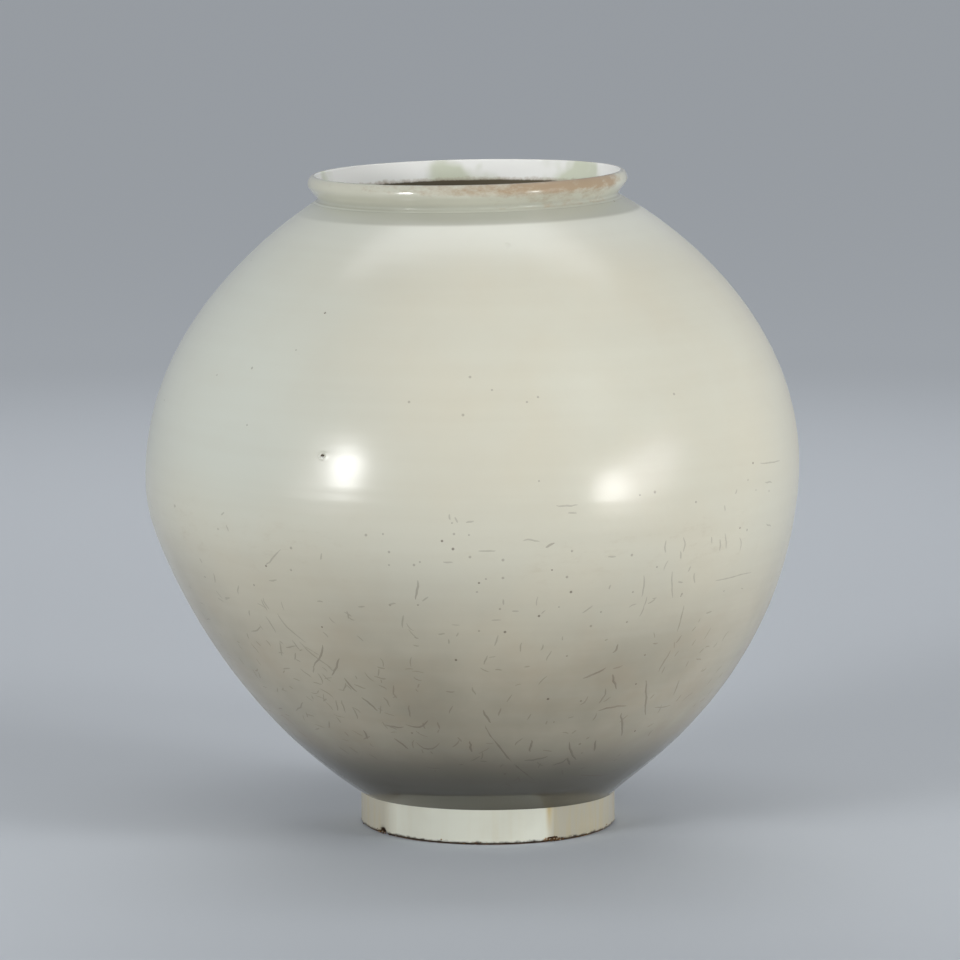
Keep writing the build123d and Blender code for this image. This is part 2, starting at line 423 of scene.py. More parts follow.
def lower_outline(shape, row, inset=0.0, rise=0.0, wall=0.0):
    foot_edge = Vector((shape.foot_radius - inset, 0, shape.base_height + rise))
    seam_edge = Vector((shape.seam_radius - wall, shape.seam_lean, shape.lower_rim))
    return outline(foot_edge, FOOT_PULL, LOWER_SEAM_PULL, seam_edge, row)


def upper_outline(shape, row, wall=0.0, drop=0.0):
    seam_edge = Vector((shape.seam_radius - wall, shape.seam_lean, shape.upper_rim))
    neck_edge = Vector((shape.neck_radius - wall, shape.neck_lean, shape.neck_height - drop))
    return outline(seam_edge, UPPER_SEAM_PULL, NECK_PULL, neck_edge, row)


def section_of(points):
    """Radius and height of each point of an outline."""
    return [(point.x, point.z) for point in points]


class ThrownClay:
    """Where a point of a true round jar ends up once the clay has leaned, tipped and moved out of true."""

    def __init__(self, shape):
        self.shape = shape
        lower = lower_outline(shape, shape.inner_row)
        upper = upper_outline(shape, shape.inner_row)
        last = len(upper) - 1
        self.levels = [point.z for point in lower + upper]
        self.leans = [point.y for point in lower + upper]
        tipping = [shape.mouth_tilt * (index / last) ** 2 for index in range(last + 1)]
        self.tilts = [0.0] * len(lower) + tipping

    def lean_and_tilt(self, height):
        index = min(max(bisect(self.levels, height) - 1, 0), len(self.levels) - 2)
        low, high = self.levels[index], self.levels[index + 1]
        share = min(max((height - low) / max(high - low, 1e-6), 0.0), 1.0)
        lean = self.leans[index] + share * (self.leans[index + 1] - self.leans[index])
        tilt = self.tilts[index] + share * (self.tilts[index + 1] - self.tilts[index])
        return lean, tilt

    def swell(self, cosine, sine, height):
        """How far the wall stands out of true at this place."""
        shape = self.shape
        wander = noise.noise(Vector((cosine * WANDER_ROUND, sine * WANDER_ROUND, height / shape.patch)))
        across, deep = cosine * RING_ROUND + RING_APART, sine * RING_ROUND
        ring = noise.noise(Vector((across, deep, height / shape.ring_pitch * 2)))
        rise = min(1.0, height / (2 * shape.foot_height))
        return rise * (shape.unevenness * wander + shape.ring_depth * ring) + self.seam_swell(cosine, height)

    def seam_swell(self, cosine, height):
        """Rounds the belly seam off, and carries the wall's slope on across the film of slip in it."""
        shape = self.shape
        half = (shape.upper_rim - shape.lower_rim) / 2
        above = height - shape.lower_rim - half
        near = max(0.0, 1 - abs(above) / shape.seam_round)
        across = min(max(above, -half), half)
        spread = SEAM_SPREAD.x + cosine * SEAM_SPREAD.y
        kink = SEAM_KINK.x + cosine * SEAM_KINK.y
        return near**3 * (spread * across - kink * shape.seam_round / 6)

    def lift(self, sine, radius, height):
        """How far the joint at the foot rises towards the front, less below and above it."""
        shape = self.shape
        fade = min(height / shape.base_height, 1 - (height - shape.base_height) / shape.lift_reach)
        front = ((1 - sine) / 2) ** 2
        return shape.joint_lift * front * max(0.0, fade) * min(1.0, radius / shape.foot_radius)

    def place(self, point):
        lean, tilt = self.lean_and_tilt(point.z)
        radius = math.hypot(point.x, point.y)
        over = max(0.0, point.z - self.shape.neck_height)
        if radius < 1e-6:
            return Vector((lean, 0, point.z))
        cosine, sine = point.x / radius, point.y / radius
        height = point.z + self.lift(sine, radius, point.z)
        radius += self.swell(cosine, sine, point.z)
        across = radius * cosine
        return Vector((
            lean + across * math.cos(tilt) - over * math.sin(tilt),
            radius * sine,
            height + across * math.sin(tilt) - over * (1 - math.cos(tilt)),
        ))


def turn(section, closed, shape):
    """Turns a section of radii and heights about the jar's axis, with its long straight runs divided."""
    bm = bmesh.new()
    corners = [bm.verts.new((radius, 0, height)) for radius, height in section]
    edges = [bm.edges.new(pair) for pair in zip(corners, corners[1:])]
    if closed:
        edges.append(bm.edges.new((corners[-1], corners[0])))
    for edge in edges:
        cuts = int(edge.calc_length() / shape.inner_row)
        if cuts:
            bmesh.ops.subdivide_edges(bm, edges=[edge], cuts=cuts)
    sector = math.tau / SECTORS
    bmesh.ops.spin(
        bm, geom=bm.verts[:] + bm.edges[:], cent=(0, 0, 0), axis=(0, 0, 1), dvec=(0, 0, 0),
        angle=sector, steps=shape.segments // SECTORS,
    )
    bmesh.ops.spin(
        bm, geom=bm.verts[:] + bm.edges[:] + bm.faces[:], cent=(0, 0, 0), axis=(0, 0, 1), dvec=(0, 0, 0),
        angle=math.tau - sector, steps=SECTORS - 1, use_duplicate=True,
    )
    bmesh.ops.remove_doubles(bm, verts=bm.verts[:], dist=0.005 * MM)
    bmesh.ops.recalc_face_normals(bm, faces=bm.faces[:])
    return bm


def settle(bm, clay):
    for vert in bm.verts:
        vert.co = clay.place(vert.co)


def place_at(angle, radius, height):
    """A place round the jar, by its angle from the front in degrees."""
    turned = math.radians(angle)
    return Vector((radius * math.sin(turned), -radius * math.cos(turned), height))


def hand_in(context, bm, name, materials, nodes=()):
    """Makes a piece of a mesh, gives it its materials and fixes it to the jar."""
    bmesh.ops.recalc_face_normals(bm, faces=bm.faces[:])
    for face in bm.faces:
        face.smooth = True
    mesh = bpy.data.meshes.new(name)
    bm.to_mesh(mesh)
    bm.free()
    mesh.set_sharp_from_angle(angle=SHARP_TURN)
    for material in materials:
        mesh.materials.append(material)
    piece = bpy.data.objects.new(name, mesh)
    context.collection.objects.link(piece)
    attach(piece, "root")
    if nodes:
        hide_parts(*nodes)
    return piece


def line_inside(bm, shape):
    """Gives the second material to the faces that look towards the middle of the jar."""
    middle = Vector((shape.seam_lean, 0, shape.lower_rim))
    for face in bm.faces:
        if face.normal.dot(face.calc_center_median() - middle) < 0:
            face.material_index = 1


def jar_surface():
    """The outside of the jar, for finding places on it."""
    bm = bmesh.new()
    for name in (
        "turned_foot", "foot_joint", "glazed_lower_bowl", "belly_seam", "glazed_upper_bowl", "rolled_lip",
    ):
        bm.from_mesh(bpy.data.objects[name].data)
    surface = BVHTree.FromBMesh(bm)
    bm.free()
    return surface


def photo_ray(stage, pixel):
    """Where the camera stands, and the direction in which it sees a pixel of the photograph."""
    half = PHOTO_SIZE / 2
    spread = SENSOR_WIDTH / 2 / stage.lens
    across = (pixel[0] - half) / half * spread
    up = (half - pixel[1]) / half * spread
    turned = Euler((math.pi / 2 - stage.camera_pitch, 0, 0)).to_matrix()
    return Vector(stage.camera_place), (turned @ Vector((across, up, -1))).normalized()


def photo_place(surface, stage, pixel):
    """The place on the jar that shows at a pixel of the photograph."""
    place = surface.ray_cast(*photo_ray(stage, pixel))[0]
    if place is None:
        raise RuntimeError(f"no part of the jar shows at pixel {pixel}")
    return place


def side_place(surface, shape, angle, height):
    """The place on the jar's outside at an angle from the front and a height."""
    start = place_at(angle, 2 * shape.seam_radius, height)
    axis = Vector((shape.seam_lean, 0, height))
    return surface.ray_cast(start, (axis - start).normalized())[0]


def draw_hairline(surface, places, width, bands):
    """Lays a thin wavering spindle along the jar's surface, through three places, and returns its mesh."""
    start, middle, end = places
    bm = bmesh.new()
    made = bmesh.ops.create_uvsphere(bm, u_segments=4, v_segments=bands, radius=1.0)
    flow = (end - start).normalized()
    normal = surface.find_nearest(middle)[1]
    aside = flow.cross(normal).normalized()
    pull = 2 * middle - (start + end) / 2
    for vert in made["verts"]:
        share = (vert.co.z + 1) / 2
        spot = start * (1 - share) ** 2 + pull * (2 * share * (1 - share)) + end * share**2
        waver = noise.noise(spot / WAVER_LENGTH) * WAVER * width
        spot += aside * (vert.co.x * width / 2 + waver)
        found, out = surface.find_nearest(spot)[:2]
        vert.co = found + out * (vert.co.y * width / HAIRLINE_FLATNESS)
    mesh = bpy.data.meshes.new("hairline")
    bm.to_mesh(mesh)
    bm.free()
    return mesh


def gather(bm, meshes, material_index):
    """Adds small meshes to a large one, with one of its materials, and removes them."""
    for mesh in meshes:
        for polygon in mesh.polygons:
            polygon.material_index = material_index
        bm.from_mesh(mesh)
        bpy.data.meshes.remove(mesh)


def lay_dot(bm, surface, place, radius, height, material_index):
    """Presses a flattened ball into the jar's surface."""
    made = bmesh.ops.create_icosphere(bm, subdivisions=2, radius=1.0)
    normal = surface.find_nearest(place)[1]
    turned = normal.to_track_quat("Z", "Y")
    for vert in made["verts"]:
        flat = turned @ Vector((vert.co.x * radius, vert.co.y * radius, 0))
        found, out = surface.find_nearest(place + flat)[:2]
        vert.co = found + out * (vert.co.z * height)
        for face in vert.link_faces:
            face.material_index = material_index


def sink_pit(bm, surface, place, radius, depth, raised):
    """Divides the faces round a place and sinks a burst bubble with a raised edge into them."""
    normal = surface.find_nearest(place)[1]
    # How far the faces are divided and moved, and where the edge is raised, in radii of the bubble
    divided, moved = 3.5, 2.5
    raised_at, raised_width = 1.4, 0.35
    near = {vert for vert in bm.verts if (vert.co - place).length < divided * radius}
    edges = {edge for vert in near for edge in vert.link_edges}
    bmesh.ops.subdivide_edges(bm, edges=list(edges), cuts=5, use_grid_fill=True)
    for vert in bm.verts:
        reach = (vert.co - place).length / radius
        if reach < moved and vert.normal.dot(normal) > -0.5:
            hollow = -depth * max(0.0, 1 - reach**2) ** 2
            edge = raised * math.exp(-(((reach - raised_at) / raised_width) ** 2))
            vert.co += normal * (hollow + edge)


def add_node(tree, kind, links=None, **settings):
    """Adds a node with its settings; each of its sockets takes another node's socket or a plain value."""
    node = tree.nodes.new(kind)
    for name, value in settings.items():
        setattr(node, name, value)
    for socket, source in (links or {}).items():
        if isinstance(source, bpy.types.NodeSocket):
            tree.links.new(source, node.inputs[socket])
        else:
            node.inputs[socket].default_value = source
    return node


def start_material(name):
    """A material with its node tree, the place on the piece, and its shader."""
    material = bpy.data.materials.new(name)
    material.use_nodes = True
    tree = material.node_tree
    shader = tree.nodes["Principled BSDF"]
    place = add_node(tree, "ShaderNodeTexCoord").outputs["Object"]
    return material, tree, place, shader


def glaze_skin(tree, place, shader, thinness):
    """Glossy skin of a glaze, duller where it lies thin, with a slight orange peel."""
    gloss = add_node(
        tree, "ShaderNodeMapRange", {"Value": thinness, "From Min": -0.6, "To Min": 0.06, "To Max": 0.3}
    )
    tree.links.new(gloss.outputs["Result"], shader.inputs["Roughness"])
    peel = add_node(tree, "ShaderNodeTexNoise", {"Vector": place, "Scale": 1 / (5 * MM), "Detail": 2.0})
    skin = add_node(
        tree, "ShaderNodeBump", {"Height": peel.outputs["Fac"], "Strength": 0.10, "Distance": 0.3 * MM}
    )
    tree.links.new(skin.outputs["Normal"], shader.inputs["Normal"])
    shader.inputs["IOR"].default_value = 1.5
    shader.inputs["Coat Weight"].default_value = 0.4
    shader.inputs["Coat Roughness"].default_value = 0.32


def mouth_level(tree, axes, shape):
    """Height of each place on a piece, measured square to the tipped mouth."""
    level = add_node(
        tree, "ShaderNodeMath",
        {0: axes.outputs["X"], 1: -math.tan(shape.mouth_tilt), 2: axes.outputs["Z"]},
        operation="MULTIPLY_ADD",
    )
    return level.outputs["Value"]


def level_on_axis(shape, height):
    """The same measure for a height on the neck's own axis."""
    return height - shape.neck_lean * math.tan(shape.mouth_tilt)


def feldspar_glaze(finish, shape):
    """Porcelain under a clear feldspar glaze, fired with wood: off-white and wet-looking, bluish where the
    glaze lies thick, yellower and rubbed brown low down, with faint level bands from throwing, and painted
    shade that darkens it low down, under the lip and in the turn above the foot."""
    material, tree, place, shader = start_material("feldspar_glaze_on_porcelain")
    axes = add_node(tree, "ShaderNodeSeparateXYZ", {"Vector": place})
    # Browner and darker towards the bottom: partly the glaze's own tone, partly painted shade
    low = add_node(
        tree, "ShaderNodeMapRange",
        {"Value": axes.outputs["Z"], "From Min": 230 * MM, "From Max": 112 * MM},
        interpolation_type="SMOOTHSTEP",
    )
    body = add_node(
        tree, "ShaderNodeMix",
        {MIX_FACTOR: low.outputs["Result"], MIX_A: finish.glaze, MIX_B: finish.low_glaze_and_shade},
        data_type="RGBA",
    )
    # Cloudy patches of thin, creamy glaze
    clouds = add_node(
        tree, "ShaderNodeTexNoise",
        {"Vector": place, "Scale": 1 / (95 * MM), "Detail": 4.0, "Roughness": 0.55},
    )
    thin = add_node(
        tree, "ShaderNodeMapRange",
        {"Value": clouds.outputs["Fac"], "From Min": 0.3, "From Max": 0.75, "To Max": 0.6},
        interpolation_type="SMOOTHSTEP",
    )
    clouded = add_node(
        tree, "ShaderNodeMix",
        {MIX_FACTOR: thin.outputs["Result"], MIX_A: body.outputs[MIX_RESULT], MIX_B: finish.cream_glaze},
        data_type="RGBA",
    )
    # Whiter glaze up towards the neck
    top = add_node(
        tree, "ShaderNodeMapRange",
        {"Value": axes.outputs["Z"], "From Min": 388 * MM, "From Max": 432 * MM, "To Max": 0.6},
        interpolation_type="SMOOTHSTEP",
    )
    whitened = add_node(
        tree, "ShaderNodeMix",
        {MIX_FACTOR: top.outputs["Result"], MIX_A: clouded.outputs[MIX_RESULT], MIX_B: finish.white_glaze},
        data_type="RGBA",
    )
    # Painted shade in the turn under the lip: a greyer colour standing for the shade and the lip's darker
    # reflection there, square to the tipped mouth
    upright = mouth_level(tree, axes, shape)
    under_lip_shade_edge = level_on_axis(shape, shape.neck_height) - shape.under_lip_shade_depth
    under_lip_shade = add_node(
        tree, "ShaderNodeMapRange",
        {"Value": upright, "From Min": under_lip_shade_edge - MM, "From Max": under_lip_shade_edge + MM,
         "To Max": 0.75},
        interpolation_type="SMOOTHSTEP",
    )
    pooled = add_node(
        tree, "ShaderNodeMix",
        {MIX_FACTOR: under_lip_shade.outputs["Result"], MIX_A: whitened.outputs[MIX_RESULT], MIX_B: finish.painted_under_lip_shade},
        data_type="RGBA",
    )
    # Thick bluish glaze on the shoulder that leans away, on the left of the photograph
    left = add_node(
        tree, "ShaderNodeMapRange",
        {"Value": axes.outputs["X"], "From Min": -40 * MM, "From Max": -170 * MM},
        interpolation_type="SMOOTHSTEP",
    )
    high = add_node(
        tree, "ShaderNodeMapRange",
        {"Value": axes.outputs["Z"], "From Min": 190 * MM, "From Max": 290 * MM},
        interpolation_type="SMOOTHSTEP",
    )
    thick = add_node(
        tree, "ShaderNodeMath", {0: left.outputs["Result"], 1: high.outputs["Result"]}, operation="MULTIPLY"
    )
    cooled = add_node(
        tree, "ShaderNodeMix",
        {MIX_FACTOR: thick.outputs["Value"], MIX_A: pooled.outputs[MIX_RESULT], MIX_B: finish.cool_glaze},
        data_type="RGBA",
    )
    # Level bands that throwing left, stronger on the lower bowl
    level = add_node(
        tree, "ShaderNodeMapping",
        {"Vector": place, "Scale": (1 / (210 * MM), 1 / (210 * MM), 1 / (9 * MM))},
    )
    bands = add_node(
        tree, "ShaderNodeTexNoise", {"Vector": level.outputs["Vector"], "Scale": 1.0, "Detail": 3.0}
    )
    band_depth = add_node(
        tree, "ShaderNodeMapRange", {"Value": low.outputs["Result"], "To Min": 0.04, "To Max": 0.14}
    )
    band = add_node(
        tree, "ShaderNodeMapRange",
        {"Value": bands.outputs["Fac"], "From Min": 0.3, "From Max": 0.75,
         "To Max": band_depth.outputs["Result"]},
        interpolation_type="SMOOTHSTEP",
    )
    banded = add_node(
        tree, "ShaderNodeMix",
        {MIX_FACTOR: band.outputs["Result"], MIX_A: cooled.outputs[MIX_RESULT], MIX_B: finish.scuff},
        data_type="RGBA",
    )
    # Brown scuffs along the belly seam
    drawn_out = add_node(
        tree, "ShaderNodeMapping",
        {"Vector": place, "Scale": (1 / (13 * MM), 1 / (13 * MM), 1 / (5 * MM))},
    )
    streaks = add_node(
        tree, "ShaderNodeTexNoise",
        {"Vector": drawn_out.outputs["Vector"], "Scale": 1.0, "Detail": 5.0, "Roughness": 0.65},
    )
    rubbed = add_node(
        tree, "ShaderNodeMapRange", {"Value": clouds.outputs["Fac"], "From Min": 0.35, "From Max": 0.62}
    )
    streak = add_node(
        tree, "ShaderNodeMapRange",
        {"Value": streaks.outputs["Fac"], "From Min": 0.5, "From Max": 0.8,
         "To Max": rubbed.outputs["Result"]},
        interpolation_type="SMOOTHSTEP",
    )
    from_seam = add_node(
        tree, "ShaderNodeMath", {0: axes.outputs["Z"], 1: shape.lower_rim}, operation="SUBTRACT"
    )
    off_seam = add_node(tree, "ShaderNodeMath", {0: from_seam.outputs["Value"]}, operation="ABSOLUTE")
    near_seam = add_node(
        tree, "ShaderNodeMapRange",
        {"Value": off_seam.outputs["Value"], "From Min": 34 * MM, "From Max": 4 * MM, "To Max": 0.24},
        interpolation_type="SMOOTHSTEP",
    )
    scuff = add_node(
        tree, "ShaderNodeMath",
        {0: streak.outputs["Result"], 1: near_seam.outputs["Result"]},
        operation="MULTIPLY",
    )
    scuffed = add_node(
        tree, "ShaderNodeMix",
        {MIX_FACTOR: scuff.outputs["Value"], MIX_A: banded.outputs[MIX_RESULT], MIX_B: finish.scuff},
        data_type="RGBA",
    )
    # Warm buff patches on the lower bowl
    stains = add_node(
        tree, "ShaderNodeTexNoise", {"Vector": place, "Scale": 1 / (38 * MM), "Detail": 3.0, "Roughness": 0.6}
    )
    warm_depth = add_node(
        tree, "ShaderNodeMapRange", {"Value": low.outputs["Result"], "To Min": 0.05, "To Max": 0.32}
    )
    warm = add_node(
        tree, "ShaderNodeMapRange",
        {"Value": stains.outputs["Fac"], "From Min": 0.4, "From Max": 0.8,
         "To Max": warm_depth.outputs["Result"]},
        interpolation_type="SMOOTHSTEP",
    )
    warmed = add_node(
        tree, "ShaderNodeMix",
        {MIX_FACTOR: warm.outputs["Result"], MIX_A: scuffed.outputs[MIX_RESULT], MIX_B: finish.buff_glaze},
        data_type="RGBA",
    )
    # Painted shade in the turn above the foot, but not under the jar: a dark glaze colour standing for the
    # shade there
    flat = add_node(tree, "ShaderNodeVectorMath", {0: place, 1: (1, 1, 0)}, operation="MULTIPLY")
    reach = add_node(tree, "ShaderNodeVectorMath", {0: flat.outputs["Vector"]}, operation="LENGTH")
    outside = add_node(
        tree, "ShaderNodeMapRange",
        {"Value": reach.outputs["Value"], "From Min": shape.foot_radius - shape.foot_wall,
         "From Max": shape.foot_radius},
    )
    near_foot = add_node(
        tree, "ShaderNodeMapRange",
        {"Value": axes.outputs["Z"], "From Min": 92 * MM, "From Max": 38 * MM},
        interpolation_type="SMOOTHSTEP",
    )
    turn_in = add_node(
        tree, "ShaderNodeMath",
        {0: near_foot.outputs["Result"], 1: outside.outputs["Result"]},
        operation="MULTIPLY",
    )
    turn_shaded = add_node(
        tree, "ShaderNodeMix",
        {MIX_FACTOR: turn_in.outputs["Value"], MIX_A: warmed.outputs[MIX_RESULT], MIX_B: finish.painted_turn_shade},
        data_type="RGBA",
    )
    tree.links.new(turn_shaded.outputs[MIX_RESULT], shader.inputs["Base Color"])
    # The glaze lies thickest in that turn, which mirrors the foot
    thinness = add_node(
        tree, "ShaderNodeMath", {0: clouds.outputs["Fac"], 1: turn_in.outputs["Value"]}, operation="SUBTRACT"
    )
    glaze_skin(tree, place, shader, thinness.outputs["Value"])
    return material


def worn_lip_glaze(finish, shape):
    """The glaze on the lip, polished, and worn through to pinkish clay where hands rubbed it most, in front
    on the right."""
    material, tree, place, shader = start_material("worn_glaze_on_lip")
    axes = add_node(tree, "ShaderNodeSeparateXYZ", {"Vector": place})
    clouds = add_node(tree, "ShaderNodeTexNoise", {"Vector": place, "Scale": 1 / (30 * MM), "Detail": 4.0})
    body = add_node(
        tree, "ShaderNodeMix",
        {MIX_FACTOR: clouds.outputs["Fac"], MIX_A: finish.lip_glaze, MIX_B: finish.glaze},
        data_type="RGBA",
    )
    right = add_node(
        tree, "ShaderNodeMapRange",
        {"Value": axes.outputs["X"], "From Min": -90 * MM, "From Max": 40 * MM, "To Max": 0.58},
    )
    front = add_node(
        tree, "ShaderNodeMapRange",
        {"Value": axes.outputs["Y"], "From Min": -25 * MM, "From Max": -55 * MM},
        interpolation_type="SMOOTHSTEP",
    )
    handled = add_node(
        tree, "ShaderNodeMath", {0: right.outputs["Result"], 1: front.outputs["Result"]}, operation="MULTIPLY"
    )
    # The crest rises to the right with the tilt of the mouth, and the wear keeps to its top
    level = mouth_level(tree, axes, shape)
    # Painted shade along the lip's base: a greyer colour standing for the shade under the roll of the lip
    base = level_on_axis(shape, shape.neck_height + shape.neck_slip)
    under_lip_shade = add_node(
        tree, "ShaderNodeMapRange",
        {"Value": level, "From Min": base + 6 * MM, "From Max": base + 1 * MM,
         "To Max": 0.75},
        interpolation_type="SMOOTHSTEP",
    )
    pooled = add_node(
        tree, "ShaderNodeMix",
        {MIX_FACTOR: under_lip_shade.outputs["Result"], MIX_A: body.outputs[MIX_RESULT], MIX_B: finish.painted_under_lip_shade},
        data_type="RGBA",
    )
    crest = base + shape.rim_height
    on_top = add_node(
        tree, "ShaderNodeMapRange",
        {"Value": level, "From Min": crest - 11 * MM, "From Max": crest - 4 * MM,
         "To Max": 0.42},
        interpolation_type="SMOOTHSTEP",
    )
    drawn_out = add_node(
        tree, "ShaderNodeMapping",
        {"Vector": place, "Scale": (1 / (9 * MM), 1 / (9 * MM), 1 / (4 * MM))},
    )
    flakes = add_node(
        tree, "ShaderNodeTexNoise",
        {"Vector": drawn_out.outputs["Vector"], "Scale": 1.0, "Detail": 5.0, "Roughness": 0.7},
    )
    exposed = add_node(
        tree, "ShaderNodeMath", {0: handled.outputs["Value"], 1: on_top.outputs["Result"]}, operation="ADD"
    )
    eroded = add_node(
        tree, "ShaderNodeMath", {0: exposed.outputs["Value"], 1: flakes.outputs["Fac"]}, operation="ADD"
    )
    worn = add_node(
        tree, "ShaderNodeMapRange",
        {"Value": eroded.outputs["Value"], "From Min": 1.0, "From Max": 1.45, "To Max": 0.85},
    )
    colour = add_node(
        tree, "ShaderNodeMix",
        {MIX_FACTOR: worn.outputs["Result"], MIX_A: pooled.outputs[MIX_RESULT], MIX_B: finish.lip_wear},
        data_type="RGBA",
    )
    tree.links.new(colour.outputs[MIX_RESULT], shader.inputs["Base Color"])
    # Hands polished the lip
    polish = 0.8
    thinness = add_node(tree, "ShaderNodeMath", {0: clouds.outputs["Fac"], 1: polish}, operation="SUBTRACT")
    glaze_skin(tree, place, shader, thinness.outputs["Value"])
    return material


def pooled_lip_glaze(finish, shape):
    """Thick glaze inside the lip: very white, partly as painted light, with green runs where it pooled,
    brown dirt along its lower edge, and painted shade below that for the dark inside of the jar."""
    material, tree, place, shader = start_material("pooled_glaze_inside_lip")
    axes = add_node(tree, "ShaderNodeSeparateXYZ", {"Vector": place})
    drawn_down = add_node(
        tree, "ShaderNodeMapping",
        {"Vector": place, "Scale": (1 / (46 * MM), 1 / (46 * MM), 1 / (60 * MM))},
    )
    runs = add_node(
        tree, "ShaderNodeTexNoise", {"Vector": drawn_down.outputs["Vector"], "Scale": 1.0, "Detail": 3.0}
    )
    run = add_node(
        tree, "ShaderNodeMapRange",
        {"Value": runs.outputs["Fac"], "From Min": 0.47, "From Max": 0.6, "To Max": 0.75},
        interpolation_type="SMOOTHSTEP",
    )
    body = add_node(
        tree, "ShaderNodeMix",
        {MIX_FACTOR: run.outputs["Result"], MIX_A: finish.lip_white_and_light, MIX_B: finish.green_glaze},
        data_type="RGBA",
    )
    # Height above the lip's joint, square to the tipped mouth
    level = mouth_level(tree, axes, shape)
    joint = level_on_axis(shape, shape.neck_height + shape.neck_slip)
    grime = add_node(
        tree, "ShaderNodeTexNoise", {"Vector": place, "Scale": 1 / (7 * MM), "Detail": 5.0, "Roughness": 0.7}
    )
    reach = add_node(
        tree, "ShaderNodeMapRange",
        {"Value": level, "From Min": joint + 9 * MM, "From Max": joint + 3 * MM},
    )
    caught = add_node(
        tree, "ShaderNodeMath", {0: reach.outputs["Result"], 1: grime.outputs["Fac"]}, operation="ADD"
    )
    dirt = add_node(
        tree, "ShaderNodeMapRange",
        {"Value": caught.outputs["Value"], "From Min": 1.0, "From Max": 1.5, "To Max": 0.8},
    )
    dirty = add_node(
        tree, "ShaderNodeMix",
        {MIX_FACTOR: dirt.outputs["Result"], MIX_A: body.outputs[MIX_RESULT], MIX_B: finish.scuff},
        data_type="RGBA",
    )
    # Painted shade below a fairly sharp line: a dark colour standing for the dark inside of the jar seen past
    # the lip
    edge = add_node(
        tree, "ShaderNodeMapRange",
        {"Value": grime.outputs["Fac"], "From Min": 0.3, "From Max": 0.7, "To Min": joint + 3.3 * MM,
         "To Max": joint + 3.9 * MM},
    )
    under = add_node(
        tree, "ShaderNodeMath", {0: edge.outputs["Result"], 1: level}, operation="SUBTRACT"
    )
    dark = add_node(
        tree, "ShaderNodeMapRange",
        {"Value": under.outputs["Value"], "From Min": -0.3 * MM, "From Max": 0.5 * MM},
    )
    colour = add_node(
        tree, "ShaderNodeMix",
        {MIX_FACTOR: dark.outputs["Result"], MIX_A: dirty.outputs[MIX_RESULT], MIX_B: finish.throat_shade_and_dirt},
        data_type="RGBA",
    )
    tree.links.new(colour.outputs[MIX_RESULT], shader.inputs["Base Color"])
    glaze_skin(tree, place, shader, runs.outputs["Fac"])
    return material


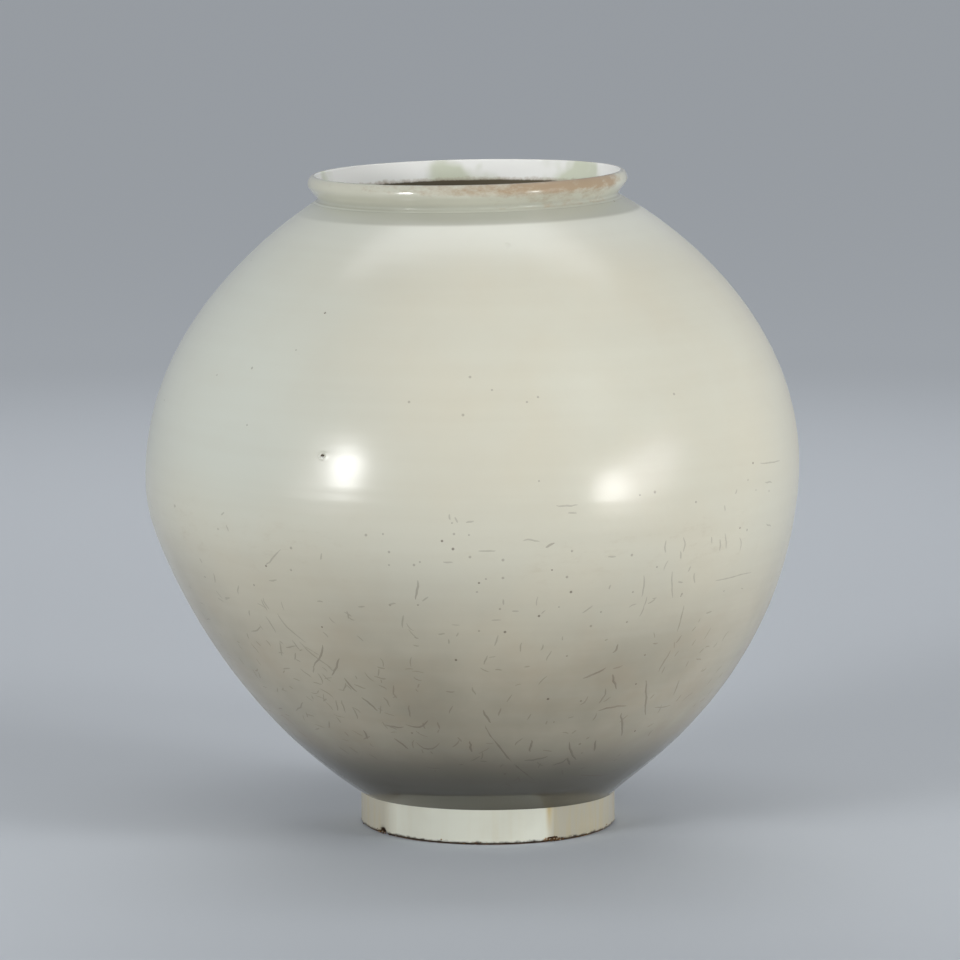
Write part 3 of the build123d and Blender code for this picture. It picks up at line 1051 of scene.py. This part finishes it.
def foot_glaze(finish, shape):
    """The glaze on the foot: palest in front, browner and darker round the sides, partly as painted shade,
    with a yellow run down it, and thinning to brown bare clay along the lower edge, made near black there
    partly as painted shade."""
    material, tree, place, shader = start_material("glaze_on_foot")
    axes = add_node(tree, "ShaderNodeSeparateXYZ", {"Vector": place})
    clouds = add_node(
        tree, "ShaderNodeTexNoise", {"Vector": place, "Scale": 1 / (45 * MM), "Detail": 3.0}
    )
    patch = add_node(
        tree, "ShaderNodeMapRange",
        {"Value": clouds.outputs["Fac"], "From Min": 0.35, "From Max": 0.7, "To Min": 0.1, "To Max": 0.3},
        interpolation_type="SMOOTHSTEP",
    )
    # Angle round the foot, nought in front
    backwards = add_node(tree, "ShaderNodeMath", {0: axes.outputs["Y"], 1: -1.0}, operation="MULTIPLY")
    angle = add_node(
        tree, "ShaderNodeMath", {0: axes.outputs["X"], 1: backwards.outputs["Value"]}, operation="ARCTAN2"
    )
    # The run's place, in radians as the angle is, with the browner glaze starting just short of it
    run_place = math.radians(28)
    past_run = add_node(
        tree, "ShaderNodeMapRange",
        {"Value": angle.outputs["Value"], "From Min": run_place - 0.03, "From Max": run_place + 0.05,
         "To Max": 0.9},
    )
    creamy = add_node(
        tree, "ShaderNodeMath",
        {0: patch.outputs["Result"], 1: past_run.outputs["Result"]},
        operation="MAXIMUM",
    )
    left_side = add_node(
        tree, "ShaderNodeMapRange",
        {"Value": angle.outputs["Value"], "From Min": -0.75, "From Max": -0.95, "To Max": 0.85},
    )
    creamier = add_node(
        tree, "ShaderNodeMath",
        {0: creamy.outputs["Value"], 1: left_side.outputs["Result"]},
        operation="MAXIMUM",
    )
    # Browner round the sides: partly the glaze's own tone, partly painted shade where the foot turns away
    # from the light
    body = add_node(
        tree, "ShaderNodeMix",
        {MIX_FACTOR: creamier.outputs["Value"], MIX_A: finish.foot_glaze, MIX_B: finish.low_glaze_and_shade},
        data_type="RGBA",
    )
    # Streaks where the glaze was brushed and ran down
    drawn_down = add_node(
        tree, "ShaderNodeMapping",
        {"Vector": place, "Scale": (1 / (5 * MM), 1 / (5 * MM), 1 / (70 * MM))},
    )
    streaks = add_node(
        tree, "ShaderNodeTexNoise", {"Vector": drawn_down.outputs["Vector"], "Scale": 1.0, "Detail": 3.0}
    )
    streak_depth = add_node(
        tree, "ShaderNodeMapRange", {"Value": creamier.outputs["Value"], "To Min": 0.0, "To Max": 0.4}
    )
    streak = add_node(
        tree, "ShaderNodeMapRange",
        {"Value": streaks.outputs["Fac"], "From Min": 0.45, "From Max": 0.7,
         "To Max": streak_depth.outputs["Result"]},
    )
    streaked = add_node(
        tree, "ShaderNodeMix",
        {MIX_FACTOR: streak.outputs["Result"], MIX_A: body.outputs[MIX_RESULT], MIX_B: finish.run_stain},
        data_type="RGBA",
    )
    # The yellow run, strongest at the joint that it comes from
    off_run = add_node(
        tree, "ShaderNodeMath", {0: angle.outputs["Value"], 1: run_place}, operation="SUBTRACT"
    )
    beside = add_node(tree, "ShaderNodeMath", {0: off_run.outputs["Value"]}, operation="ABSOLUTE")
    run_depth = add_node(
        tree, "ShaderNodeMapRange",
        {"Value": axes.outputs["Z"], "From Min": 6 * MM, "From Max": 22 * MM, "To Min": 0.1, "To Max": 0.85},
    )
    run = add_node(
        tree, "ShaderNodeMapRange",
        {"Value": beside.outputs["Value"], "From Min": 0.04, "From Max": 0.0,
         "To Max": run_depth.outputs["Result"]},
        interpolation_type="SMOOTHSTEP",
    )
    stained = add_node(
        tree, "ShaderNodeMix",
        {MIX_FACTOR: run.outputs["Result"], MIX_A: streaked.outputs[MIX_RESULT], MIX_B: finish.run_stain},
        data_type="RGBA",
    )
    # Bare clay along the lower edge, with a ragged line: dark brown, made near black partly as painted shade
    # under the edge
    ragged = add_node(
        tree, "ShaderNodeTexNoise", {"Vector": place, "Scale": 1 / (6 * MM), "Detail": 6.0, "Roughness": 0.7}
    )
    line = add_node(
        tree, "ShaderNodeMapRange",
        {"Value": ragged.outputs["Fac"], "From Min": 0.3, "From Max": 0.75,
         "To Min": 0.5 * MM, "To Max": 3.0 * MM},
    )
    below = add_node(
        tree, "ShaderNodeMath", {0: line.outputs["Result"], 1: axes.outputs["Z"]}, operation="SUBTRACT"
    )
    bare = add_node(
        tree, "ShaderNodeMapRange",
        {"Value": below.outputs["Value"], "From Min": -0.9 * MM, "From Max": 0.5 * MM},
    )
    colour = add_node(
        tree, "ShaderNodeMix",
        {MIX_FACTOR: bare.outputs["Result"], MIX_A: stained.outputs[MIX_RESULT], MIX_B: finish.burnt_clay_and_shade},
        data_type="RGBA",
    )
    tree.links.new(colour.outputs[MIX_RESULT], shader.inputs["Base Color"])
    glaze_skin(tree, place, shader, clouds.outputs["Fac"])
    return material


def stained_inner_glaze(finish):
    """The same glaze inside the jar, browned by what was stored there: dull, with darker clouds."""
    material, tree, place, shader = start_material("stained_inner_glaze")
    clouds = add_node(tree, "ShaderNodeTexNoise", {"Vector": place, "Scale": 1 / (40 * MM), "Detail": 5.0})
    stained = add_node(
        tree, "ShaderNodeMapRange",
        {"Value": clouds.outputs["Fac"], "From Min": 0.35, "From Max": 0.75, "To Max": 0.5},
    )
    colour = add_node(
        tree, "ShaderNodeMix",
        {MIX_FACTOR: stained.outputs["Result"], MIX_A: finish.inner_glaze, MIX_B: finish.throat_shade_and_dirt},
        data_type="RGBA",
    )
    tree.links.new(colour.outputs[MIX_RESULT], shader.inputs["Base Color"])
    shader.inputs["Roughness"].default_value = 0.45
    return material


def fired_slip(finish):
    """Clay slip in the joints, fired under the glaze: the glaze's colour, a little browner."""
    material, tree, place, shader = start_material("fired_slip_under_glaze")
    grain = add_node(tree, "ShaderNodeTexNoise", {"Vector": place, "Scale": 1 / (12 * MM), "Detail": 4.0})
    colour = add_node(
        tree, "ShaderNodeMix",
        {MIX_FACTOR: grain.outputs["Fac"], MIX_A: finish.glaze, MIX_B: finish.low_glaze_and_shade},
        data_type="RGBA",
    )
    tree.links.new(colour.outputs[MIX_RESULT], shader.inputs["Base Color"])
    shader.inputs["Roughness"].default_value = 0.22
    return material


def bare_fired_clay(finish):
    """Unglazed porcelain clay where the jar stood in the kiln: rough, toasted brown in patches."""
    material, tree, place, shader = start_material("bare_fired_clay")
    patches = add_node(
        tree, "ShaderNodeTexNoise", {"Vector": place, "Scale": 1 / (9 * MM), "Detail": 6.0, "Roughness": 0.6}
    )
    toast = add_node(
        tree, "ShaderNodeMapRange", {"Value": patches.outputs["Fac"], "From Min": 0.4, "From Max": 0.65}
    )
    colour = add_node(
        tree, "ShaderNodeMix",
        {MIX_FACTOR: toast.outputs["Result"], MIX_A: finish.bare_clay, MIX_B: finish.burnt_clay_and_shade},
        data_type="RGBA",
    )
    # Near black round the edge, above the face that it stands on: partly burnt clay, partly painted shade
    # under the edge
    axes = add_node(tree, "ShaderNodeSeparateXYZ", {"Vector": place})
    edge = add_node(
        tree, "ShaderNodeMapRange",
        {"Value": axes.outputs["Z"], "From Min": 0.1 * MM, "From Max": 0.5 * MM, "To Max": 0.9},
    )
    burnt = add_node(
        tree, "ShaderNodeMix",
        {MIX_FACTOR: edge.outputs["Result"], MIX_A: colour.outputs[MIX_RESULT], MIX_B: finish.burnt_clay_and_shade},
        data_type="RGBA",
    )
    tree.links.new(burnt.outputs[MIX_RESULT], shader.inputs["Base Color"])
    shader.inputs["Roughness"].default_value = 0.8
    grain = add_node(tree, "ShaderNodeTexNoise", {"Vector": place, "Scale": 1 / (0.8 * MM), "Detail": 3.0})
    rough = add_node(
        tree, "ShaderNodeBump", {"Height": grain.outputs["Fac"], "Strength": 0.5, "Distance": 0.4 * MM}
    )
    tree.links.new(rough.outputs["Normal"], shader.inputs["Normal"])
    return material


def stain(name, dark, light, share, roughness):
    """Brown stain or grit: a dull colour that pales in patches."""
    material, tree, place, shader = start_material(name)
    patches = add_node(tree, "ShaderNodeTexNoise", {"Vector": place, "Scale": 1 / (15 * MM), "Detail": 3.0})
    pale = add_node(
        tree, "ShaderNodeMapRange",
        {"Value": patches.outputs["Fac"], "From Min": 0.35, "From Max": 0.7, "To Max": share},
    )
    colour = add_node(
        tree, "ShaderNodeMix",
        {MIX_FACTOR: pale.outputs["Result"], MIX_A: dark, MIX_B: light},
        data_type="RGBA",
    )
    tree.links.new(colour.outputs[MIX_RESULT], shader.inputs["Base Color"])
    shader.inputs["Roughness"].default_value = roughness
    return material


def stained_glaze(glaze, name, stain_colour, share):
    """A copy of a glaze in which stain shows through, so that a mark darkens whatever lies round it."""
    material = glaze.copy()
    material.name = name
    tree = material.node_tree
    shader = tree.nodes["Principled BSDF"]
    clear = shader.inputs["Base Color"].links[0].from_socket
    colour = add_node(
        tree, "ShaderNodeMix", {MIX_FACTOR: share, MIX_A: clear, MIX_B: stain_colour}, data_type="RGBA"
    )
    tree.links.new(colour.outputs[MIX_RESULT], shader.inputs["Base Color"])
    return material


def made_material(name, maker, *details):
    """A material that several pieces share, made the first time it is asked for."""
    return bpy.data.materials.get(name) or maker(*details)


def bowl_materials(scene):
    """Glaze for the outside of the bowls, and for their inside."""
    finish, shape = scene.jar_finish, scene.jar_shape
    return (
        made_material("feldspar_glaze_on_porcelain", feldspar_glaze, finish, shape),
        made_material("stained_inner_glaze", stained_inner_glaze, finish),
    )


class JAR_OT_foot(Operator):
    """Turns the foot ring, chips its lower edge and leaves its standing face bare"""

    bl_idname = "jar.foot"
    bl_label = "Foot"

    def execute(self, context):
        shape = context.scene.jar_shape
        outer = shape.foot_radius
        inner = outer - shape.foot_wall
        edge = shape.foot_edge
        rows = 10
        wall_rows = [(outer, edge + (shape.foot_height - edge) * row / rows) for row in range(rows)]
        section = [
            (inner, shape.foot_height), (inner, edge), (inner + edge, 0), (outer - edge, 0),
            *wall_rows, (outer, shape.foot_height),
        ]
        bm = turn(section, True, shape)
        for face in bm.faces:
            if face.calc_center_median().z < edge:
                face.material_index = 1
        settle(bm, ThrownClay(shape))
        for angle, width, depth in FOOT_CHIPS:
            self.chip(bm, place_at(angle, outer, 0), width * MM, depth * MM)
        finish = context.scene.jar_finish
        materials = (made_material("glaze_on_foot", foot_glaze, finish, shape), bare_fired_clay(finish))
        hand_in(context, bm, "turned_foot", materials, ["foot_ring"])
        return {"FINISHED"}

    def chip(self, bm, place, width, depth):
        """Breaks a shallow flake out of the edge, ragged, and bare of glaze in its middle."""
        upwards = Vector((0, 0, 0.7))
        bare_reach = 0.6
        grain = 2 * MM
        for vert in bm.verts:
            reach = (vert.co - place).length / width
            if reach < 1:
                broken = depth * (1 - reach**2) * (0.8 + 0.4 * noise.noise(vert.co / grain))
                inwards = Vector((-vert.co.x, -vert.co.y, 0)).normalized()
                vert.co += (inwards + upwards) * broken
                # The bare middle takes the near black clay colour, partly painted shade in the hollow
                if reach < bare_reach:
                    for face in vert.link_faces:
                        face.material_index = 1


class JAR_OT_lower_bowl(Operator):
    """Throws the lower bowl with its floor and the ridge on its rim"""

    bl_idname = "jar.lower_bowl"
    bl_label = "Lower bowl"

    def execute(self, context):
        shape = context.scene.jar_shape
        outside = lower_outline(shape, shape.outer_row)
        inside = lower_outline(shape, shape.inner_row, shape.floor_inset, shape.floor_thickness, shape.wall)
        section = [
            (0, shape.base_height),
            *section_of(outside),
            *reversed(seam_ridge(shape, shape.lower_rim)),
            *section_of(reversed(inside)),
            (0, shape.base_height + shape.floor_thickness),
        ]
        bm = turn(section, False, shape)
        line_inside(bm, shape)
        settle(bm, ThrownClay(shape))
        hand_in(context, bm, "glazed_lower_bowl", bowl_materials(context.scene), ["lower_bowl"])
        return {"FINISHED"}


def seam_ridge(shape, level):
    """Corners of the ridge in the belly seam, from the inner face of the wall to the outer."""
    inner = shape.seam_radius - shape.wall
    return [
        (inner + shape.ridge_shoulder, level),
        (shape.seam_radius - shape.wall / 2, level + shape.ridge_height),
        (shape.seam_radius - shape.ridge_shoulder, level),
    ]


class JAR_OT_slip(Operator):
    """Lays the films of slip in the joints at the foot, the belly and the neck"""

    bl_idname = "jar.slip"
    bl_label = "Slip in the joints"

    def execute(self, context):
        shape = context.scene.jar_shape
        clay = ThrownClay(shape)
        glaze = bowl_materials(context.scene)[0]
        slip = made_material("fired_slip_under_glaze", fired_slip, context.scene.jar_finish)
        foot_inner = shape.foot_radius - shape.foot_wall
        foot_joint = [
            (foot_inner, shape.foot_height), (shape.foot_radius, shape.foot_height),
            (shape.foot_radius, shape.base_height), (foot_inner, shape.base_height),
        ]
        inner = shape.seam_radius - shape.wall
        bead = (shape.upper_rim - shape.lower_rim) / 2
        slant = 0.7 * bead
        middle = shape.lower_rim + bead
        belly_seam = [
            (inner, shape.lower_rim), *seam_ridge(shape, shape.lower_rim),
            (shape.seam_radius, shape.lower_rim), (shape.seam_radius, shape.upper_rim),
            *reversed(seam_ridge(shape, shape.upper_rim)), (inner, shape.upper_rim),
            (inner - slant, middle + slant), (inner - bead, middle), (inner - slant, middle - slant),
        ]
        throat = shape.neck_radius - shape.wall
        top = shape.neck_height + shape.neck_slip
        neck_joint = [
            (throat, shape.neck_height), (shape.neck_radius, shape.neck_height),
            (shape.neck_radius - shape.neck_slip, top), (throat, top),
        ]
        foot = made_material("glaze_on_foot", foot_glaze, context.scene.jar_finish, shape)
        joints = (
            ("foot_joint", foot_joint, "foot_slip", foot),
            ("belly_seam", belly_seam, "belly_slip", glaze),
            ("neck_joint", neck_joint, "neck_slip", glaze),
        )
        for name, section, node, outside in joints:
            bm = turn(section, True, shape)
            line_inside(bm, shape)
            settle(bm, clay)
            hand_in(context, bm, name, (outside, slip), [node])
        return {"FINISHED"}


class JAR_OT_upper_bowl(Operator):
    """Throws the upper bowl, with its throat, and sinks burst bubbles into its glaze"""

    bl_idname = "jar.upper_bowl"
    bl_label = "Upper bowl"

    def execute(self, context):
        shape = context.scene.jar_shape
        outside = upper_outline(shape, shape.outer_row)
        inside = upper_outline(shape, shape.inner_row, shape.wall, shape.throat_depth)
        section = [
            *section_of(outside),
            (shape.neck_radius - shape.wall, shape.neck_height),
            *section_of(reversed(inside)),
            *seam_ridge(shape, shape.upper_rim),
        ]
        bm = turn(section, True, shape)
        line_inside(bm, shape)
        settle(bm, ThrownClay(shape))
        bm.normal_update()
        surface = BVHTree.FromBMesh(bm)
        for pixel, radius, depth, raised in PHOTO_PITS:
            place = photo_place(surface, context.scene.jar_stage, pixel)
            sink_pit(bm, surface, place, radius * MM, depth * MM, raised * MM)
        hand_in(context, bm, "glazed_upper_bowl", bowl_materials(context.scene), ["upper_bowl"])
        return {"FINISHED"}


class JAR_OT_lip(Operator):
    """Rolls the mouth rim over into its flared lip"""

    bl_idname = "jar.lip"
    bl_label = "Lip"

    def execute(self, context):
        shape = context.scene.jar_shape
        outer_steps, inner_steps, cove_steps, under_steps = 12, 6, 5, 10
        inward = -0.4
        throat = shape.neck_radius - shape.wall
        low = shape.neck_height + shape.neck_slip
        top = low + shape.rim_height
        nose = Vector((shape.neck_radius + shape.rim_flare, 0, top - shape.nose_drop))
        crest = Vector((nose.x - shape.crest_width, 0, top))
        outer_round = interpolate_bezier(
            nose, nose + Vector((0, 0, ROUND_PULL * shape.nose_drop)),
            crest + Vector((ROUND_PULL * shape.crest_width, 0, 0)), crest, outer_steps,
        )
        shoulder = crest - Vector((shape.crest_round, 0, shape.crest_round))
        inner_round = interpolate_bezier(
            crest, crest - Vector((ROUND_PULL * shape.crest_round, 0, 0)),
            shoulder + Vector((0, 0, ROUND_PULL * shape.crest_round)), shoulder, inner_steps,
        )
        joint = Vector((shape.neck_radius - shape.neck_slip, 0, low))
        tuck = Vector((shape.neck_radius - shape.lip_tuck, 0, low + shape.tuck_height))
        cove = interpolate_bezier(
            joint, joint + Vector((-shape.lip_tuck / 4, 0, shape.lip_tuck / 4)),
            tuck - Vector((0, 0, shape.tuck_height / 2)), tuck, cove_steps,
        )
        under = interpolate_bezier(
            tuck, tuck + Vector((0, 0, shape.nose_drop / 3)),
            nose - Vector((0, 0, shape.nose_drop / 2)), nose, under_steps,
        )
        section = [
            (throat, low), *section_of(cove), *section_of(under[1:]),
            *section_of(outer_round[1:]), *section_of(inner_round[1:]),
        ]
        bm = turn(section, True, shape)
        for face in bm.faces:
            if face.normal.to_2d().dot(face.calc_center_median().to_2d()) < inward * throat:
                face.material_index = 1
        settle(bm, ThrownClay(shape))
        finish = context.scene.jar_finish
        materials = (worn_lip_glaze(finish, shape), pooled_lip_glaze(finish, shape))
        hand_in(context, bm, "rolled_lip", materials, ["mouth_rim"])
        return {"FINISHED"}


class JAR_OT_hairlines(Operator):
    """Draws the stained hairlines in the glaze: the main ones of the photograph, and scattered ones"""

    bl_idname = "jar.hairlines"
    bl_label = "Hairlines"

    def execute(self, context):
        scene = context.scene
        surface = jar_surface()
        dark = [self.trace(surface, scene, pixels, DARK_WIDTH) for pixels in DARK_HAIRLINES]
        faint = [self.trace(surface, scene, pixels, FAINT_WIDTH) for pixels in FAINT_HAIRLINES]
        draw = random.Random(HAIRLINE_SEED)
        for angles, heights, count, slope in HAIRLINE_PATCHES.values():
            for _ in range(count):
                faint.append(self.scatter(surface, scene.jar_shape, draw, angles, heights, slope))
        bm = bmesh.new()
        gather(bm, dark, 0)
        gather(bm, faint, 1)
        glaze = bowl_materials(scene)[0]
        brown = scene.jar_finish.hairline
        materials = (
            stained_glaze(glaze, "dark_stain_in_hairlines", brown, share=0.36),
            stained_glaze(glaze, "faint_stain_in_hairlines", brown, share=0.27),
        )
        hand_in(context, bm, "stained_hairlines", materials)
        return {"FINISHED"}

    def trace(self, surface, scene, pixels, width):
        """Draws one hairline of the photograph."""
        places = [photo_place(surface, scene.jar_stage, pixel) for pixel in pixels]
        if len(places) == 2:
            places.insert(1, (places[0] + places[1]) / 2)
        return draw_hairline(surface, places, width, TRACED_BANDS)

    def scatter(self, surface, shape, draw, angles, heights, slope):
        """Draws one short hairline somewhere in a patch."""
        place = side_place(surface, shape, draw.uniform(*angles), draw.uniform(*heights) * MM)
        normal = surface.find_nearest(place)[1]
        level = normal.cross(Vector((0, 0, 1))).normalized()
        rising = level.cross(normal).normalized()
        lean = math.radians(draw.choice((slope, slope, 0, 90)) + draw.gauss(0, SLOPE_STRAY))
        flow = level * -math.cos(lean) + rising * math.sin(lean)
        half = draw.uniform(*HALF_LENGTHS) * MM
        bend = normal.cross(flow) * draw.uniform(*BENDS) * half
        places = (place - flow * half, place + bend, place + flow * half)
        return draw_hairline(surface, places, draw.uniform(*SCATTERED_WIDTHS) * MM, SCATTERED_BANDS)


class JAR_OT_specks(Operator):
    """Sets the iron specks and pinholes in the glaze"""

    bl_idname = "jar.specks"
    bl_label = "Iron specks"

    def execute(self, context):
        scene = context.scene
        surface = jar_surface()
        draw = random.Random(SPECK_SEED)
        bm = bmesh.new()
        for index, specks in enumerate((DARK_SPECKS, FAINT_SPECKS)):
            for pixel in specks:
                place = photo_place(surface, scene.jar_stage, pixel)
                lay_dot(bm, surface, place, draw.uniform(*PHOTO_SPECK_RADII) * MM, SPECK_RISE, index)
        for _ in range(BACK_SPECKS):
            angle, height = draw.uniform(*BACK_ANGLES), draw.uniform(*BACK_HEIGHTS) * MM
            place = side_place(surface, scene.jar_shape, angle, height)
            radius = draw.uniform(*BACK_SPECK_RADII) * MM
            lay_dot(bm, surface, place, radius, SPECK_RISE, draw.choice((0, 1, 1)))
        # The burst bubble has a white ring, a little lower, and dirt in it
        burst, radius = PHOTO_PITS[0][:2]
        place = photo_place(surface, scene.jar_stage, burst)
        ring_radius, ring_rise = 1.7 * radius * MM, 0.04 * MM
        dirt_radius, dirt_rise = 0.9 * radius * MM, 0.12 * MM
        lay_dot(bm, surface, place - Vector((0, 0, radius / 2 * MM)), ring_radius, ring_rise, 2)
        lay_dot(bm, surface, place, dirt_radius, dirt_rise, 3)
        finish = scene.jar_finish
        glaze = bowl_materials(scene)[0]
        materials = (
            stained_glaze(glaze, "dark_iron_specks", finish.hairline, share=0.65),
            stained_glaze(glaze, "faint_iron_specks", finish.hairline, share=0.35),
            stained_glaze(glaze, "white_ring_of_burst_bubble", finish.lip_white_and_light, share=0.8),
            stain("dirt_in_burst_bubble", finish.speck, finish.burnt_clay_and_shade, share=0.5, roughness=0.6),
        )
        hand_in(context, bm, "iron_specks", materials)
        return {"FINISHED"}


class JAR_OT_grit(Operator):
    """Sticks grains of kiln grit to the foot's lower edge"""

    bl_idname = "jar.grit"
    bl_label = "Kiln grit"

    def execute(self, context):
        shape = context.scene.jar_shape
        draw = random.Random(GRIT_SEED)
        bm = bmesh.new()
        for angle, spread, count in GRIT_PATCHES:
            for _ in range(count):
                size = draw.uniform(*GRAIN_RADII) * MM
                height = size + abs(draw.gauss(0, GRAIN_SPREAD)) * MM
                turned = angle + draw.uniform(-spread, spread)
                place = place_at(turned, shape.foot_radius - GRAIN_SINK, height)
                grain = bmesh.ops.create_icosphere(bm, subdivisions=1, radius=size)
                kind = draw.choice((0, 0, 0, 0, 1))
                for vert in grain["verts"]:
                    vert.co = place + vert.co * draw.uniform(0.6, 1.0)
                    for face in vert.link_faces:
                        face.material_index = kind
        finish = context.scene.jar_finish
        materials = (
            stain("brown_kiln_grit", finish.grit, finish.burnt_clay_and_shade, share=1.0, roughness=0.75),
            stain("pale_kiln_grit", finish.cream_glaze, finish.scuff, share=1.0, roughness=0.6),
        )
        hand_in(context, bm, "kiln_grit", materials)
        return {"FINISHED"}


class JAR_OT_stage(Operator):
    """Sets up the floor, the soft lights, the room and the camera"""

    bl_idname = "jar.stage"
    bl_label = "Stage"

    def execute(self, context):
        scene = context.scene
        stage = scene.jar_stage
        scene.view_settings.view_transform = "Standard"
        self.lay_floor(context, stage)
        for name, details in LIGHTS.items():
            self.hang_light(context, name, getattr(stage, name), *details)
        self.light_room(scene, stage)
        lens = bpy.data.cameras.new("photo_camera")
        lens.lens = stage.lens
        camera = bpy.data.objects.new("photo_camera", lens)
        camera.location = stage.camera_place
        camera.rotation_euler = (math.pi / 2 - stage.camera_pitch, 0, 0)
        context.collection.objects.link(camera)
        scene.camera = camera
        return {"FINISHED"}

    def lay_floor(self, context, stage):
        bm = bmesh.new()
        bmesh.ops.create_grid(bm, x_segments=1, y_segments=1, size=FLOOR_REACH)
        mesh = bpy.data.meshes.new("pale_floor")
        bm.to_mesh(mesh)
        bm.free()
        mesh.materials.append(paper_floor(stage))
        floor = bpy.data.objects.new("pale_floor", mesh)
        context.collection.objects.link(floor)

    def hang_light(self, context, name, watts, place, size, spread, mirrored):
        """A soft oval light that faces the jar's belly."""
        light = bpy.data.lights.new(name, "AREA")
        light.shape = "ELLIPSE"
        light.size, light.size_y = size
        light.spread = math.radians(spread)
        light.energy = watts
        lamp = bpy.data.objects.new(name, light)
        lamp.location = place
        lamp.rotation_euler = (LIT_PLACE - lamp.location).to_track_quat("-Z", "Y").to_euler()
        lamp.visible_glossy = mirrored
        context.collection.objects.link(lamp)

    def light_room(self, scene, stage):
        """Dim light from all round, behind a backdrop about as pale as the floor."""
        world = bpy.data.worlds.new("soft_room")
        world.use_nodes = True
        tree = world.node_tree
        colour = add_node(
            tree, "ShaderNodeMix",
            {MIX_FACTOR: seen_ray(tree), MIX_A: stage.room, MIX_B: stage.backdrop}, data_type="RGBA",
        )
        tree.links.new(colour.outputs[MIX_RESULT], tree.nodes["Background"].inputs["Color"])
        scene.world = world


def seen_ray(tree):
    """One for what the camera sees, straight, mirrored or through glass, and nought for what gives light."""
    path = add_node(tree, "ShaderNodeLightPath")
    sharp = add_node(
        tree, "ShaderNodeMath",
        {0: path.outputs["Is Glossy Ray"], 1: path.outputs["Is Transmission Ray"]}, operation="MAXIMUM",
    )
    seen = add_node(
        tree, "ShaderNodeMath",
        {0: path.outputs["Is Camera Ray"], 1: sharp.outputs["Value"]},
        operation="MAXIMUM",
    )
    return seen.outputs["Value"]


def paper_floor(stage):
    """Seamless paper: pale and matt where it is seen, and dim in the light that it throws back at the jar."""
    material, tree, place, shader = start_material("seamless_paper")
    seen = seen_ray(tree)
    colour = add_node(
        tree, "ShaderNodeMix",
        {MIX_FACTOR: seen, MIX_A: stage.floor_bounce, MIX_B: stage.floor},
        data_type="RGBA",
    )
    tree.links.new(colour.outputs[MIX_RESULT], shader.inputs["Base Color"])
    shader.inputs["Roughness"].default_value = 0.9
    shader.inputs["Specular IOR Level"].default_value = 0.1
    # The lift grows with the distance from the jar, so that the shadow under it stays
    away = add_node(tree, "ShaderNodeVectorMath", {0: place}, operation="LENGTH")
    far = add_node(
        tree, "ShaderNodeMapRange",
        {"Value": away.outputs["Value"], "From Min": 0.2, "From Max": 3.0, "To Max": stage.floor_glow},
        interpolation_type="SMOOTHSTEP",
    )
    glow = add_node(
        tree, "ShaderNodeMath", {0: seen, 1: far.outputs["Result"]}, operation="MULTIPLY"
    )
    shader.inputs["Emission Color"].default_value = stage.floor
    tree.links.new(glow.outputs["Value"], shader.inputs["Emission Strength"])
    return material


class JAR_PT_sidebar(Panel):
    """Lists the jar's sizes, colours and pieces"""

    bl_label = "Moon Jar"
    bl_idname = "JAR_PT_sidebar"
    bl_space_type = "VIEW_3D"
    bl_region_type = "UI"
    bl_category = "Moon Jar"

    def draw(self, context):
        layout = self.layout
        for piece in PIECES:
            layout.operator(piece.bl_idname)
        for group in (context.scene.jar_shape, context.scene.jar_finish, context.scene.jar_stage):
            column = layout.column(align=True)
            for name in group.bl_rna.properties.keys():
                if name not in {"rna_type", "name"}:
                    column.prop(group, name)


# In the order in which they are made
PIECES = (
    JAR_OT_stage, JAR_OT_foot, JAR_OT_lower_bowl, JAR_OT_slip, JAR_OT_upper_bowl, JAR_OT_lip,
    JAR_OT_hairlines, JAR_OT_specks, JAR_OT_grit,
)
GROUPS = {"jar_shape": JarShape, "jar_finish": JarFinish, "jar_stage": JarStage}


def register():
    for name, group in GROUPS.items():
        bpy.utils.register_class(group)
        setattr(bpy.types.Scene, name, PointerProperty(type=group))
    for entry in (*PIECES, JAR_PT_sidebar):
        bpy.utils.register_class(entry)


def unregister():
    for entry in (JAR_PT_sidebar, *reversed(PIECES)):
        bpy.utils.unregister_class(entry)
    for name, group in GROUPS.items():
        delattr(bpy.types.Scene, name)
        bpy.utils.unregister_class(group)


def main():
    register()
    for piece in PIECES:
        getattr(bpy.ops.jar, piece.bl_idname.split(".")[1])()


if __name__ == "__main__":
    main()
